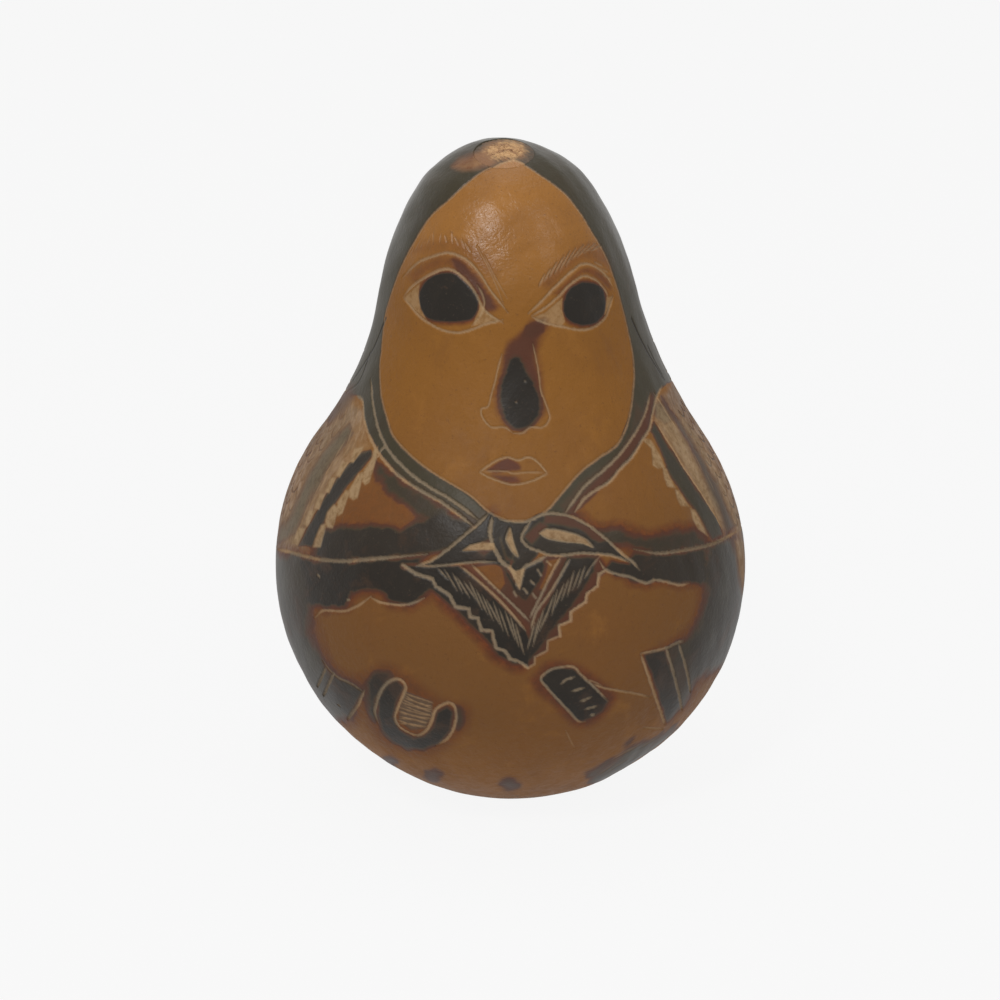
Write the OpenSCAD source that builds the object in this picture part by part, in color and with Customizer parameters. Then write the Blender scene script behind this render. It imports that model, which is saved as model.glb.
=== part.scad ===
// Carved gourd figure: one whole dried gourd, pear shaped, standing on a small sanded foot.
// The shell is a single grown wall. Inside are the dried stump of the stem, the papery lining,
// the shrunken pith hanging in the head, and the loose seeds that make the gourd rattle.
// Millimetres, +Z up, the face looks towards -Y, the origin is the middle of the foot.

/* [Shell] */
// Height of the gourd from foot to crown
gourd_h = 99.6; // [94:0.2:110]
// Diameter of the belly
belly_d = 70.6; // [66:0.2:74]
// Diameter of the flat foot that the gourd stands on
foot_d = 18; // [14:0.5:22]
// Radius of the crown of the head
crown_r = 15.2; // [13.5:0.1:16.5]
// Radius of the long arc down the side of the head
cheek_r = 47; // [40:1:56]
// Radius of the hollow arc between head and belly
neck_r = 56; // [46:1:64]
// Angle from the top of the head at which the long side arc begins
cheek_start = 58.2; // [52:0.2:64]
// Thickness of the dried wall
wall = 3.2; // [2.4:0.1:4]
// Diameter of the blossom scar under the foot
blossom_d = 5; // [3:0.5:8]
// Depth of the blossom scar
blossom_depth = 0.7; // [0.4:0.1:1]

/* [Stem] */
// Diameter of the hole where the stem grew through the wall
stem_d = 9; // [7:0.2:11]
// How far the stem leans forward from the upright
stem_tilt = 14; // [0:1:18]
// Gap all round the dried stump in its hole
stem_gap = 0.05; // [0.02:0.01:0.1]
// How far the sanded stump lies below the skin
stem_sunk = 0.25; // [0.1:0.05:0.6]
// How far the stump reaches in past the lining
stem_reach = 1.6; // [1:0.1:3]

/* [Lining and pith] */
// Thickness of the papery lining
lining = 0.8; // [0.5:0.1:1.2]
// Gap between the wall and the lining
lining_gap = 0.1; // [0.05:0.05:0.2]
// Radius of the shrunken pith at its widest
pith_r = 6.6; // [5:0.1:7.2]
// Length of the pith below the stump
pith_l = 22; // [18:0.5:26]

/* [Seeds] */
// Number of loose seeds
seed_count = 16; // [1:1:16]
// Length of a seed
seed_l = 9.5; // [8:0.1:10]
// Width of a seed
seed_w = 5.4; // [4.4:0.1:5.8]
// Thickness of a seed
seed_t = 2.3; // [1.8:0.1:2.6]
// Number of seeds still stuck in the pith
stuck_count = 5; // [1:1:6]

/* [Hidden] */
$fn = 96;

// Profile: belly, hollow neck, long cheek and crown are four arcs, each tangent to the next.
belly_r = belly_d / 2;
foot_r = foot_d / 2;
belly_z = sqrt(belly_r * belly_r - foot_r * foot_r);
crown_z = gourd_h - crown_r;
cheek_x = -(cheek_r - crown_r) * sin(cheek_start);
cheek_z = crown_z - (cheek_r - crown_r) * cos(cheek_start);
// The neck arc touches the cheek arc and the belly arc from outside.
to_cheek = norm([cheek_x, cheek_z - belly_z]);
to_neck = belly_r + neck_r;
cheek_to_neck = cheek_r + neck_r;
cheek_bearing = atan2(cheek_z - belly_z, cheek_x);
neck_swing = acos((to_cheek * to_cheek + to_neck * to_neck - cheek_to_neck * cheek_to_neck)
    / (2 * to_cheek * to_neck));
neck_x = to_neck * cos(cheek_bearing - neck_swing);
neck_z = belly_z + to_neck * sin(cheek_bearing - neck_swing);
// The neck's middle lies beyond the cheek arc's lower end and the belly arc's upper end.
cheek_end = atan2(neck_x - cheek_x, neck_z - cheek_z);
belly_start = atan2(neck_x, neck_z - belly_z);
// Steps of the arcs in the profile, in degrees
arc_step = 3;

// Inner faces, as insets from the skin
lining_outer = wall + lining_gap;
lining_inner = lining_outer + lining;

// The stem's axis runs through the middle of the crown.
stem_r = stem_d / 2;
stump_r = stem_r - stem_gap;
stump_bottom = crown_r - lining_inner - stem_reach;
pith_gap = 0.05;
stalk_r = 0.55 * stump_r;

// Seeds lie flat on the lining, on a spiral of golden-angle steps.
seed_rest = 0.3;
seed_side_r = 14;
seed_side_shift = 1.2;
seed_face_r = 16;
seed_floor = belly_r - lining_inner - seed_rest - seed_t / 2;
seed_polar_step = 13.2;
seed_spiral_start = 0.3;
golden_angle = 137.5;
seed_yaw_step = 115;
stuck_sunk = 0.55;
stuck_gap = 0.08;

skin_colour = [0.60, 0.38, 0.17];
stump_colour = [0.72, 0.56, 0.38];
lining_colour = [0.86, 0.80, 0.66];
pith_colour = [0.80, 0.70, 0.52];
seed_colour = [0.72, 0.58, 0.38];

function along(bearing, radius) = [radius * sin(bearing), radius * cos(bearing)];

// Points down an arc, from one bearing to another, measured clockwise from straight up
function arc(middle, radius, from, to) =
    let (steps = ceil(abs(to - from) / arc_step))
    [for (i = [0 : steps]) middle + along(from + (to - from) * i / steps, radius)];

// Profile of a layer at a depth below the skin, from the crown down to the axis.
// Arcs that meet share a point, so each arc but the last leaves its own end out.
function profile(depth) = concat(
    but_last(arc([0, crown_z], crown_r - depth, 0, cheek_start)),
    but_last(arc([cheek_x, cheek_z], cheek_r - depth, cheek_start, cheek_end)),
    but_last(arc([neck_x, neck_z], neck_r + depth, cheek_end + 180, belly_start + 180)),
    arc([0, belly_z], belly_r - depth, belly_start, 180)
);

function but_last(points) = [for (i = [0 : len(points) - 2]) points[i]];

// All that lies inside a layer's profile, turned about the upright axis and cut off at the foot
module gourd_inside(depth) {
    rotate_extrude() intersection() {
        square([2 * belly_r, 2 * gourd_h]);
        polygon(profile(depth));
    }
}

module on_stem_axis() {
    translate([0, 0, crown_z]) rotate([stem_tilt, 0, 0]) children();
}

module stem_hole(radius) {
    on_stem_axis() cylinder(r = radius, h = 2 * crown_r);
}

// The one grown wall, open only where the stem went through
module gourd_shell() {
    scar_r = (blossom_d * blossom_d / 4 + blossom_depth * blossom_depth) / (2 * blossom_depth);
    color(skin_colour)
        difference() {
            gourd_inside(0);
            gourd_inside(wall);
            stem_hole(stem_r);
            translate([0, 0, blossom_depth - scar_r]) sphere(scar_r);
        }
}

// Corky stump of the stem, sanded off just below the skin
module stem_stump() {
    color(stump_colour)
        intersection() {
            on_stem_axis() translate([0, 0, stump_bottom])
                cylinder(r = stump_r, h = crown_r);
            translate([0, 0, crown_z]) sphere(crown_r - stem_sunk);
        }
}

// Papery skin left by the dried flesh, all over the inside
module pith_lining() {
    color(lining_colour)
        difference() {
            gourd_inside(lining_outer);
            gourd_inside(lining_inner);
            stem_hole(stem_r);
        }
}

// A flat seed, narrower at one end, thickest in the middle
module seed(grow = 0) {
    side_at = seed_side_r - seed_w / 2;
    face_at = seed_face_r - seed_t / 2;
    intersection() {
        translate([0, 0, -seed_t]) linear_extrude(2 * seed_t) intersection() {
            circle(seed_l / 2 + grow);
            translate([side_at, seed_side_shift]) circle(seed_side_r + grow);
            translate([-side_at, seed_side_shift]) circle(seed_side_r + grow);
        }
        translate([0, 0, face_at]) sphere(seed_face_r + grow);
        translate([0, 0, -face_at]) sphere(seed_face_r + grow);
    }
}

// Where each stuck seed sits: set round the pith by the golden angle, half sunk
module at_stuck_seed(i) {
    on_stem_axis()
        translate([0, 0, -pith_l * (0.12 + 0.13 * i)])
        rotate([0, 0, golden_angle * i + 40])
        translate([0, pith_r - stuck_sunk, 0])
        rotate([90, 20 * i, 0])
        children();
}

// Shrunken pith on its dry stalk under the stump
module pith_core() {
    stalk_top = stump_bottom - pith_gap;
    color(pith_colour)
        difference() {
            on_stem_axis() union() {
                cylinder(r = stalk_r, h = stalk_top);
                sphere(pith_r);
                translate([0.5, 0.4, -0.34 * pith_l]) sphere(0.94 * pith_r);
                translate([-0.6, 0.3, -0.62 * pith_l]) sphere(0.78 * pith_r);
                translate([0.3, -0.5, pith_r * 0.55 - pith_l]) sphere(0.55 * pith_r);
            }
            for (i = [0 : stuck_count - 1]) at_stuck_seed(i) seed(stuck_gap);
        }
}

module stuck_seeds() {
    color(seed_colour)
        for (i = [0 : stuck_count - 1]) at_stuck_seed(i) seed();
}

// One loose seed at its resting place on the floor of the gourd
module loose_seed(i) {
    color(seed_colour)
        translate([0, 0, belly_z])
        rotate([0, 0, golden_angle * i])
        rotate([0, -seed_polar_step * sqrt(i + seed_spiral_start), 0])
        translate([0, 0, -seed_floor])
        rotate([0, 0, seed_yaw_step * i])
        seed();
}

function seed_node(i) = str("loose_seed_", i < 9 ? "0" : "", i + 1);

gourd_shell();
stem_stump();
pith_lining();
pith_core();
stuck_seeds();
for (i = [0 : seed_count - 1])
    loose_seed(i);
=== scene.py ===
import functools
import math

import bpy
import numpy as np
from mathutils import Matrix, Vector


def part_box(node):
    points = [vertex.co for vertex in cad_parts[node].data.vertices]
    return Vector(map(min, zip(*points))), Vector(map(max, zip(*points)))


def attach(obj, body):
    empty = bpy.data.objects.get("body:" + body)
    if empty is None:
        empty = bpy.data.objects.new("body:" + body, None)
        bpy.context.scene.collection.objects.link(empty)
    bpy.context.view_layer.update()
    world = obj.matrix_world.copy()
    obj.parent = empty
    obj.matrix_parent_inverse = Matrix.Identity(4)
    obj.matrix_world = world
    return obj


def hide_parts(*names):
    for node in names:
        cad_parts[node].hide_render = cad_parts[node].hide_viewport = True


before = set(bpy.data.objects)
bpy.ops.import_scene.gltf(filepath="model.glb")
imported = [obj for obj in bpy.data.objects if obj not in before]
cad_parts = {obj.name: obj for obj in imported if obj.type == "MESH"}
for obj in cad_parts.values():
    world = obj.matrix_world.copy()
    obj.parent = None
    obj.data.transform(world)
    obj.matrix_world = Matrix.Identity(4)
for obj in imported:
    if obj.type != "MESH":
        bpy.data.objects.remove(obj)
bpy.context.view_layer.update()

# The carver's drawing is read from the photograph, in pixels of its 1000 x 1000 frame, and is cast
# from the camera onto the skin. Everything on the skin itself is worked out in millimetres.
MM = 0.001
IMAGE_SIDE = 1000
SENSOR_MM = 36.0
CAMERA_DISTANCE = 550.0
CAMERA_ELEVATION = math.radians(19.78)
CAMERA_FOCUS_PX = 3675.0
CAMERA_AIM_Z = 44.33
CAMERA_SHIFT_X = -1.58

# The four arcs of the skin, as the shell is turned: crown, cheek, hollow neck and belly
shell_low, shell_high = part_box("gourd_shell")
BELLY_R = (shell_high[0] - shell_low[0]) / 2 / MM
FOOT_R = 9.0
CROWN_TOP = 99.6
CROWN_R = 15.2
CHEEK_R = 47.0
NECK_R = 56.0
CHEEK_START = math.radians(58.2)
WALL = 3.2
SCAR_R = 2.5
SCAR_DEPTH = 0.7

BELLY_Z = math.sqrt(BELLY_R ** 2 - FOOT_R ** 2)
CROWN_Z = CROWN_TOP - CROWN_R

# The head leans a little to the viewer's left
LEAN = -1.0
LEAN_FROM_Z = 64.0

# The stem's axis, leaning forward through the middle of the crown
STEM_TILT = math.radians(14.0)
STEM_R = 4.5
STEM_PIT = 1.6

# Spacing of the skin's mesh, close on the carved front and wider on the back and under the belly
FINE_STEP = 0.17
COARSE_STEP = 0.36
FRONT_HALF_ANGLE = math.radians(102)
LOW_Z = 9.0

# Depth of a plain cut
GROOVE = 0.26

# Width of one degree round the belly
MM_PER_DEGREE = math.radians(1) * BELLY_R

# Spacing that keeps a straight cut on the skin, where it is drawn in degrees and heights
BACK_SPACING = 1.2

# What is kept at each point of the skin for its finish, each from 0 to 1
FIELDS = ("char", "scorch", "cut", "scrape", "sanded", "scales")

# Guards against dividing by nothing, and the shortest stretch of a line that counts
TINY = 1e-9
NO_LENGTH = 1e-6


# Shape of the skin

def along(bearing, radius):
    return np.array([radius * math.sin(bearing), radius * math.cos(bearing)])


def arc_meetings():
    """Middles of the cheek and neck arcs, and the bearings where the arcs meet."""
    cheek = np.array([0.0, CROWN_Z]) - along(CHEEK_START, CHEEK_R - CROWN_R)
    to_cheek = math.hypot(cheek[0], cheek[1] - BELLY_Z)
    to_neck = BELLY_R + NECK_R
    cheek_to_neck = CHEEK_R + NECK_R
    swing = math.acos((to_cheek ** 2 + to_neck ** 2 - cheek_to_neck ** 2) / (2 * to_cheek * to_neck))
    bearing = math.atan2(cheek[1] - BELLY_Z, cheek[0]) - swing
    neck = np.array([to_neck * math.cos(bearing), BELLY_Z + to_neck * math.sin(bearing)])
    cheek_end = math.atan2(neck[0] - cheek[0], neck[1] - cheek[1])
    belly_start = math.atan2(neck[0], neck[1] - BELLY_Z)
    return cheek, neck, cheek_end, belly_start


CHEEK_AT, NECK_AT, CHEEK_END, BELLY_START = arc_meetings()


def arc_run(middle, radius, start, end, spacing):
    """Points down an arc, without its last one."""
    steps = max(2, round(abs(end - start) * radius / spacing))
    bearings = np.linspace(start, end, steps, endpoint=False)
    return np.stack([middle[0] + radius * np.sin(bearings), middle[1] + radius * np.cos(bearings)], 1)


def skin_profile(depth, fine, coarse):
    """Points (radius, height) down one side, at a depth below the skin, without the two poles."""
    low_bearing = math.acos((LOW_Z - BELLY_Z) / BELLY_R)
    head = arc_run((0, CROWN_Z), CROWN_R - depth, 0, CHEEK_START, fine)
    cheek = arc_run(CHEEK_AT, CHEEK_R - depth, CHEEK_START, CHEEK_END, fine)
    neck = arc_run(NECK_AT, NECK_R + depth, CHEEK_END + math.pi, BELLY_START + math.pi, fine)
    belly = arc_run((0, BELLY_Z), BELLY_R - depth, BELLY_START, low_bearing, fine)
    if depth > 0:
        under = arc_run((0, BELLY_Z), BELLY_R - depth, low_bearing, math.pi, coarse)
    else:
        foot_bearing = math.pi - math.asin(FOOT_R / BELLY_R)
        under = arc_run((0, BELLY_Z), BELLY_R, low_bearing, foot_bearing, coarse)
        across = np.arange(FOOT_R, coarse / 2, -coarse)
        dimple = SCAR_DEPTH * np.clip(1 - (across / SCAR_R) ** 2, 0, None)
        under = np.vstack([under, np.stack([across, dimple], 1)])
    return np.vstack([head[1:], cheek, neck, belly, under])


PROFILE = skin_profile(0, FINE_STEP, COARSE_STEP)
PROFILE_UPWARDS = PROFILE[np.argsort(PROFILE[:, 1])]


def skin_radius(z):
    """Radius of the skin at a height, above the foot."""
    return np.interp(z, PROFILE_UPWARDS[:, 1], PROFILE_UPWARDS[:, 0], left=0, right=0)


def step(x, low, high):
    """0 below low, 1 above high, smooth between."""
    t = np.clip((x - low) / (high - low), 0, 1)
    return t * t * (3 - 2 * t)


def lean_at(z):
    return LEAN * step(z, LEAN_FROM_Z, CROWN_TOP)


def column_bearings(fine, coarse):
    """Bearings round the gourd, from behind, over the front, to behind again: 0 looks at the face."""
    trial = np.linspace(-math.pi, math.pi, 4000)
    change_over = 0.05
    ease = 1 / (1 + np.exp((np.abs(trial) - FRONT_HALF_ANGLE) / change_over))
    per_radian = BELLY_R * (1 / coarse + ease * (1 / fine - 1 / coarse))
    total = np.concatenate([[0], np.cumsum((per_radian[1:] + per_radian[:-1]) / 2 * np.diff(trial))])
    count = round(total[-1])
    return np.interp(np.arange(count) * total[-1] / count, total, trial)


def spun(profile, bearings):
    """Radius, height and bearing of every point of a profile spun round the gourd."""
    radius, z = np.repeat(profile, len(bearings), axis=0).T
    return radius, z, np.tile(bearings, len(profile))


def turned(radius, z, bearing):
    """Points or directions at a bearing. 0 looks at the face, and 90 degrees is the viewer's right."""
    return np.stack([radius * np.sin(bearing), -radius * np.cos(bearing), z], 1)


def on_gourd(radius, z, bearing):
    """Points at a bearing, with the lean of the head."""
    points = turned(radius, z, bearing)
    points[:, 0] += lean_at(z)
    return points


def round_the_gourd(points):
    """Points on the skin from (bearing in degrees, height)."""
    bearing, z = np.asarray(points, float).T
    return on_gourd(skin_radius(z), z, np.radians(bearing))


# The camera, and casting from its picture onto the skin

CAMERA_AT = np.array([
    CAMERA_SHIFT_X,
    -CAMERA_DISTANCE * math.cos(CAMERA_ELEVATION),
    CAMERA_AIM_Z + CAMERA_DISTANCE * math.sin(CAMERA_ELEVATION),
])
VIEW_AHEAD = np.array([0.0, math.cos(CAMERA_ELEVATION), -math.sin(CAMERA_ELEVATION)])
VIEW_UP = np.array([0.0, math.sin(CAMERA_ELEVATION), math.cos(CAMERA_ELEVATION)])
VIEW_RIGHT = np.array([1.0, 0.0, 0.0])


def to_pixels(points):
    away = points - CAMERA_AT
    ahead = away @ VIEW_AHEAD
    across = IMAGE_SIDE / 2 + CAMERA_FOCUS_PX * (away @ VIEW_RIGHT) / ahead
    down = IMAGE_SIDE / 2 - CAMERA_FOCUS_PX * (away @ VIEW_UP) / ahead
    return np.stack([across, down], -1)


def is_inside(points):
    """Whether points are inside the skin, measured level."""
    z = points[..., 2]
    return np.hypot(points[..., 0] - lean_at(z), points[..., 1]) < skin_radius(z)


def cast(pixels):
    """Where the camera's rays through these pixels first meet the skin. Rays that miss are left out."""
    across, down = ((np.asarray(pixels, float) - IMAGE_SIDE / 2) / CAMERA_FOCUS_PX).T
    rays = VIEW_AHEAD + VIEW_RIGHT * across[:, None] - VIEW_UP * down[:, None]
    # The gourd lies between these distances.
    steps = np.linspace(CAMERA_DISTANCE - 70, CAMERA_DISTANCE + 30, 160)
    inside = is_inside(CAMERA_AT + rays[:, None, :] * steps[None, :, None])
    first = inside.argmax(axis=1)
    near = steps[np.maximum(first - 1, 0)]
    far = steps[first]
    halvings = 14
    for _ in range(halvings):
        half = (near + far) / 2
        within = is_inside(CAMERA_AT + rays * half[:, None])
        far = np.where(within, half, far)
        near = np.where(within, near, half)
    return (CAMERA_AT + rays * far[:, None])[inside.any(axis=1)]


# Lines of the drawing

def flowing(points, per_span=6):
    """A smooth line through the points."""
    p = np.asarray(points, float)
    ends = np.vstack([2 * p[0] - p[1], p, 2 * p[-1] - p[-2]])
    t = np.linspace(0, 1, per_span, endpoint=False)[:, None]
    spans = []
    for a, b, c, d in zip(ends, ends[1:], ends[2:], ends[3:]):
        square = (2 * a - 5 * b + 4 * c - d) * t ** 2
        cube = (3 * b - a - 3 * c + d) * t ** 3
        spans.append(0.5 * (2 * b + (c - a) * t + square + cube))
    return np.vstack(spans + [p[-1:]])


def straight(points, spacing=4.0):
    """A line of straight stretches through the points, split so that it lies on the skin."""
    p = np.asarray(points, float)
    runs = []
    for a, b in zip(p, p[1:]):
        count = max(1, int(np.linalg.norm(b - a) / spacing))
        runs.append(a + (b - a) * np.linspace(0, 1, count, endpoint=False)[:, None])
    return np.vstack(runs + [p[-1:]])


def ripple(points, size, seed):
    """Gentle noise between about -1 and 1, the same on every run."""
    rng = np.random.default_rng(seed)
    total = np.zeros(len(points))
    for octave in range(7):
        way = rng.normal(size=points.shape[1])
        way /= np.linalg.norm(way)
        scale = size / (1 + 0.45 * octave)
        total += np.sin(points @ way * (2 * math.pi / scale) + rng.uniform(0, 2 * math.pi))
    return total / 3.2


def coverage(outline, points, soft, shift=0.0):
    """Share, from 0 to 1 over a soft edge, by which flat points lie inside a closed outline."""
    inside = np.zeros(len(points), bool)
    away = np.full(len(points), np.inf)
    for a, b in zip(outline, np.roll(outline, -1, axis=0)):
        crosses = (a[1] > points[:, 1]) != (b[1] > points[:, 1])
        rise = b[1] - a[1] if b[1] != a[1] else TINY
        inside ^= crosses & (points[:, 0] < a[0] + (points[:, 1] - a[1]) * (b[0] - a[0]) / rise)
        span = b - a
        t = np.clip(((points - a) @ span) / max(span @ span, TINY), 0, 1)
        away = np.minimum(away, np.linalg.norm(points - a - t[:, None] * span, axis=1))
    return step(np.where(inside, away, -away) + shift, -soft, soft)


def at_least(field, picked, values):
    """Raises a field to these values where it is lower."""
    field[picked] = np.maximum(field[picked], values)


def towards(field, picked, level, cover):
    """Moves a field towards a level by the share that each point is covered."""
    field[picked] += (level - field[picked]) * cover


class Skin:
    """The gourd's skin as a grid, with what the carver did to each point of it."""

    def __init__(self):
        bearings = column_bearings(FINE_STEP, COARSE_STEP)
        self.rows = len(PROFILE)
        self.columns = len(bearings)
        slope = np.gradient(PROFILE, axis=0)
        slope /= np.linalg.norm(slope, axis=1)[:, None]
        out_r, out_z, _ = spun(slope[:, ::-1] * [-1, 1], bearings)
        radius, self.z, self.a = spun(PROFILE, bearings)
        self.at = on_gourd(radius, self.z, self.a)
        self.out = turned(out_r, out_z, self.a)
        self.pixel = to_pixels(self.at)
        sight = CAMERA_AT - self.at
        facing = (sight * self.out).sum(axis=1) / np.linalg.norm(sight, axis=1)
        # Front and back drawings blend where the surface turns away from the camera.
        self.front = step(facing, 0.0, 0.08)
        self.back = 1 - step(facing, 0.06, 0.16)
        self.unrolled = np.stack([np.degrees(self.a) % 360 * MM_PER_DEGREE, self.z], 1)
        self.wobble = ripple(self.at, 11.0, 4) + 0.4 * ripple(self.at, 2.4, 6)
        self.jitter = ripple(self.at, 1.3, 5)
        for field in FIELDS + ("depth",):
            setattr(self, field, np.zeros(len(self.z)))

    def near(self, line, reach):
        """Points within reach of a line on the skin, their distances, and how far along it they are."""
        low = line.min(axis=0) - reach
        high = line.max(axis=0) + reach
        picked = np.flatnonzero(((self.at > low) & (self.at < high)).all(axis=1))
        p = self.at[picked]
        best = np.full(len(picked), np.inf)
        where = np.zeros(len(picked))
        lengths = np.linalg.norm(np.diff(line, axis=0), axis=1)
        gone = np.concatenate([[0], np.cumsum(lengths)])
        for i, length in enumerate(lengths):
            if length < NO_LENGTH:
                continue
            ahead = (line[i + 1] - line[i]) / length
            t = np.clip((p - line[i]) @ ahead, 0, length)
            d = np.linalg.norm(p - line[i] - t[:, None] * ahead, axis=1)
            closer = d < best
            best[closer] = d[closer]
            where[closer] = (gone[i] + t[closer]) / gone[-1]
        close = best < reach
        return picked[close], best[close], where[close]

    def engrave(self, line, width, deep=1.0, ends=0.0, strength=1.0, clears=0.0):
        """Cuts a groove along a line on the skin, in a hand that wavers a little.

        ends is the share of the line that tapers at each end, and clears is how much burn it takes off.
        """
        if len(line) < 2:
            return
        soft = 0.11
        picked, away, where = self.near(line, width / 2 + soft)
        half = np.full(len(picked), width / 2)
        if ends > 0:
            half *= 0.25 + 0.75 * step(np.minimum(where, 1 - where), 0, ends)
        half *= 0.84 + 0.28 * self.jitter[picked]
        pressure = strength * (0.95 - 0.15 * self.jitter[picked])
        cover = pressure * step(-away, -half - soft, -half + soft)
        at_least(self.cut, picked, cover)
        self.char[picked] *= 1 - clears * np.minimum(cover / strength, 1)
        at_least(self.depth, picked, GROOVE * deep * strength * step(-away, -half - soft, 0))

    def drawn(self, points, width, smooth=True, **more):
        """Engraves a line that is given in the photograph's pixels."""
        pixels = flowing(points) if smooth and len(points) > 2 else straight(points)
        self.engrave(cast(pixels), width, **more)

    def each_drawn(self, lines, width, **more):
        for line in lines:
            self.drawn(line, width, **more)

    def lines_drawn(self, *lines):
        """Engraves lines, each of (pixels, width, share that tapers at each end, strength)."""
        for points, width, ends, strength in lines:
            self.drawn(points, width, ends=ends, strength=strength)

    def cut_round(self, points, width, **more):
        """Engraves a line that is given in bearings and heights."""
        self.engrave(round_the_gourd(points), width, **more)

    def score(self, line, width, level):
        """A dark scored line, cut before the burning."""
        soft = 0.12
        picked, away, _ = self.near(line, width / 2 + soft)
        cover = step(-away, -width / 2 - soft, -width / 2 + 0.05)
        at_least(self.char, picked, level * cover)
        at_least(self.depth, picked, 0.8 * GROOVE * cover)

    def region(self, outline, soft, ragged=0.0, smooth=False, at_back=False):
        """Which points a region covers, and how much, with a soft edge.

        The outline is in the photograph's pixels, or for the back in bearings and heights.
        """
        poly = flowing(list(outline) + [outline[0]], 4)[:-1] if smooth else np.asarray(outline, float)
        flat = self.unrolled if at_back else self.pixel
        side = self.back if at_back else self.front
        if at_back:
            poly = poly * [MM_PER_DEGREE, 1]
        low = poly.min(axis=0) - soft
        high = poly.max(axis=0) + soft
        picked = np.flatnonzero((side > 0) & ((flat > low) & (flat < high)).all(axis=1))
        return picked, side[picked] * coverage(poly, flat[picked], soft, ragged * self.wobble[picked])

    def burn(self, outline, level, soft, ragged=0.0, smooth=False, halo=0.0, red=0.0, at_back=False):
        """Blackens a region, with a scorched halo of that many pixels round it."""
        if halo:
            picked, cover = self.region(outline, 1.3 * halo, ragged, smooth)
            at_least(self.scorch, picked, red * (1 - np.abs(2 * cover - 1)) ** 0.45)
        picked, cover = self.region(outline, soft, ragged, smooth, at_back)
        towards(self.char, picked, level, cover)

    def redden(self, outline, level, soft, ragged=0.0):
        picked, cover = self.region(outline, soft, ragged, smooth=True)
        towards(self.scorch, picked, level, cover)

    def scratch_off(self, outline, level, soft=0.9, keep=0.0, at_back=False):
        """Scrapes a region down to the pale rind, as the teeth and the whites of the eyes are. It also lays
        the painted sheen on the belly's right edge.
        """
        picked, cover = self.region(outline, soft, at_back=at_back)
        towards(self.scrape, picked, level, cover)
        self.char[picked] *= 1 - cover * (1 - keep)
        self.scorch[picked] *= 1 - cover
        at_least(self.depth, picked, 0.4 * GROOVE * cover)


# The drawing. Lists of pairs are pixels of the photograph, across and down.

FACE_LEFT = [
    (513, 160), (502, 163), (477, 175), (449, 200), (431, 216), (415, 239), (400, 266), (391, 291),
    (384, 317), (381, 350), (379, 367), (380, 394), (386, 417), (393, 436), (409, 454), (429, 470),
    (450, 483), (470, 495), (488, 511), (499, 517), (513, 521),
]
FACE_RIGHT = [
    (513, 160), (524, 165), (540, 175), (563, 192), (579, 212), (593, 234), (604, 251), (613, 271),
    (620, 291), (627, 317), (634, 350), (636, 376), (632, 410), (620, 442), (599, 458), (581, 472),
    (563, 492), (547, 510), (527, 520), (513, 521),
]
SCARF_EDGE_LEFT = [
    (355, 395), (361, 400), (362, 416), (366, 430), (372, 443), (381, 457), (399, 476), (420, 490),
    (441, 502), (459, 515), (473, 526),
]
SCARF_LINE_LEFT = [
    (370, 379), (372, 405), (377, 426), (382, 439), (391, 454), (411, 474), (431, 488), (447, 497),
    (463, 508), (477, 519),
]
SCARF_EDGE_RIGHT = [
    (662, 386), (657, 397), (654, 412), (651, 427), (643, 440), (633, 456), (620, 469), (609, 482),
    (587, 496), (575, 512),
]
SCARF_LINE_RIGHT = [
    (651, 393), (647, 411), (639, 428), (628, 444), (620, 454), (605, 469), (584, 487), (566, 512),
]
HOOD_BURN = 0.80


def hood(skin):
    """Burnt headscarf round the face, down to its edge at the shoulders."""
    above_head = [(800, 378), (800, 60), (200, 60), (200, 391)]
    outline = [(340, 391)] + SCARF_EDGE_LEFT + [(499, 530), (530, 530)]
    outline += SCARF_EDGE_RIGHT[::-1] + [(678, 378)] + above_head
    skin.burn(outline, HOOD_BURN, soft=1.6, ragged=0.8)
    brown_band = [
        (620, 469), (651, 427), (656, 398), (651, 393), (639, 428), (605, 469), (566, 512), (575, 512),
    ]
    skin.burn(brown_band, 0.42, soft=3.0, ragged=1.5)
    skin.redden(brown_band, 0.7, soft=4)
    inner_band = [
        (636, 400), (632, 432), (612, 458), (580, 482), (560, 505), (566, 512), (606, 470), (645, 415),
    ]
    skin.burn(inner_band, 0.62, soft=3.0, ragged=1.5)
    face = FACE_LEFT[::-1] + FACE_RIGHT
    skin.burn(face, 0.0, soft=1.0)
    skin.drawn(FACE_LEFT, 0.34, ends=0.03, strength=0.68, clears=1.0)
    skin.drawn(FACE_RIGHT, 0.34, ends=0.03, strength=0.82, clears=1.0)
    skin.lines_drawn(
        (SCARF_LINE_LEFT, 0.52, 0.06, 1.0), (SCARF_EDGE_LEFT, 0.54, 0.05, 1.0),
        (SCARF_LINE_RIGHT, 0.46, 0.06, 1.0), (SCARF_EDGE_RIGHT, 0.50, 0.05, 1.0),
    )
    small_tie = [(377, 456), (381, 449), (386, 446)]
    skin.drawn(small_tie, 0.45)
    edge_creases = [
        [(370, 352), (362, 373), (356, 384), (346, 392)], [(385, 318), (374, 346), (362, 366), (350, 384)],
        [(633, 318), (643, 342), (652, 360), (662, 378)], [(648, 346), (656, 364), (664, 380)],
    ]
    for crease in edge_creases:
        skin.score(cast(flowing(crease)), 0.30, 1.0)


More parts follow.
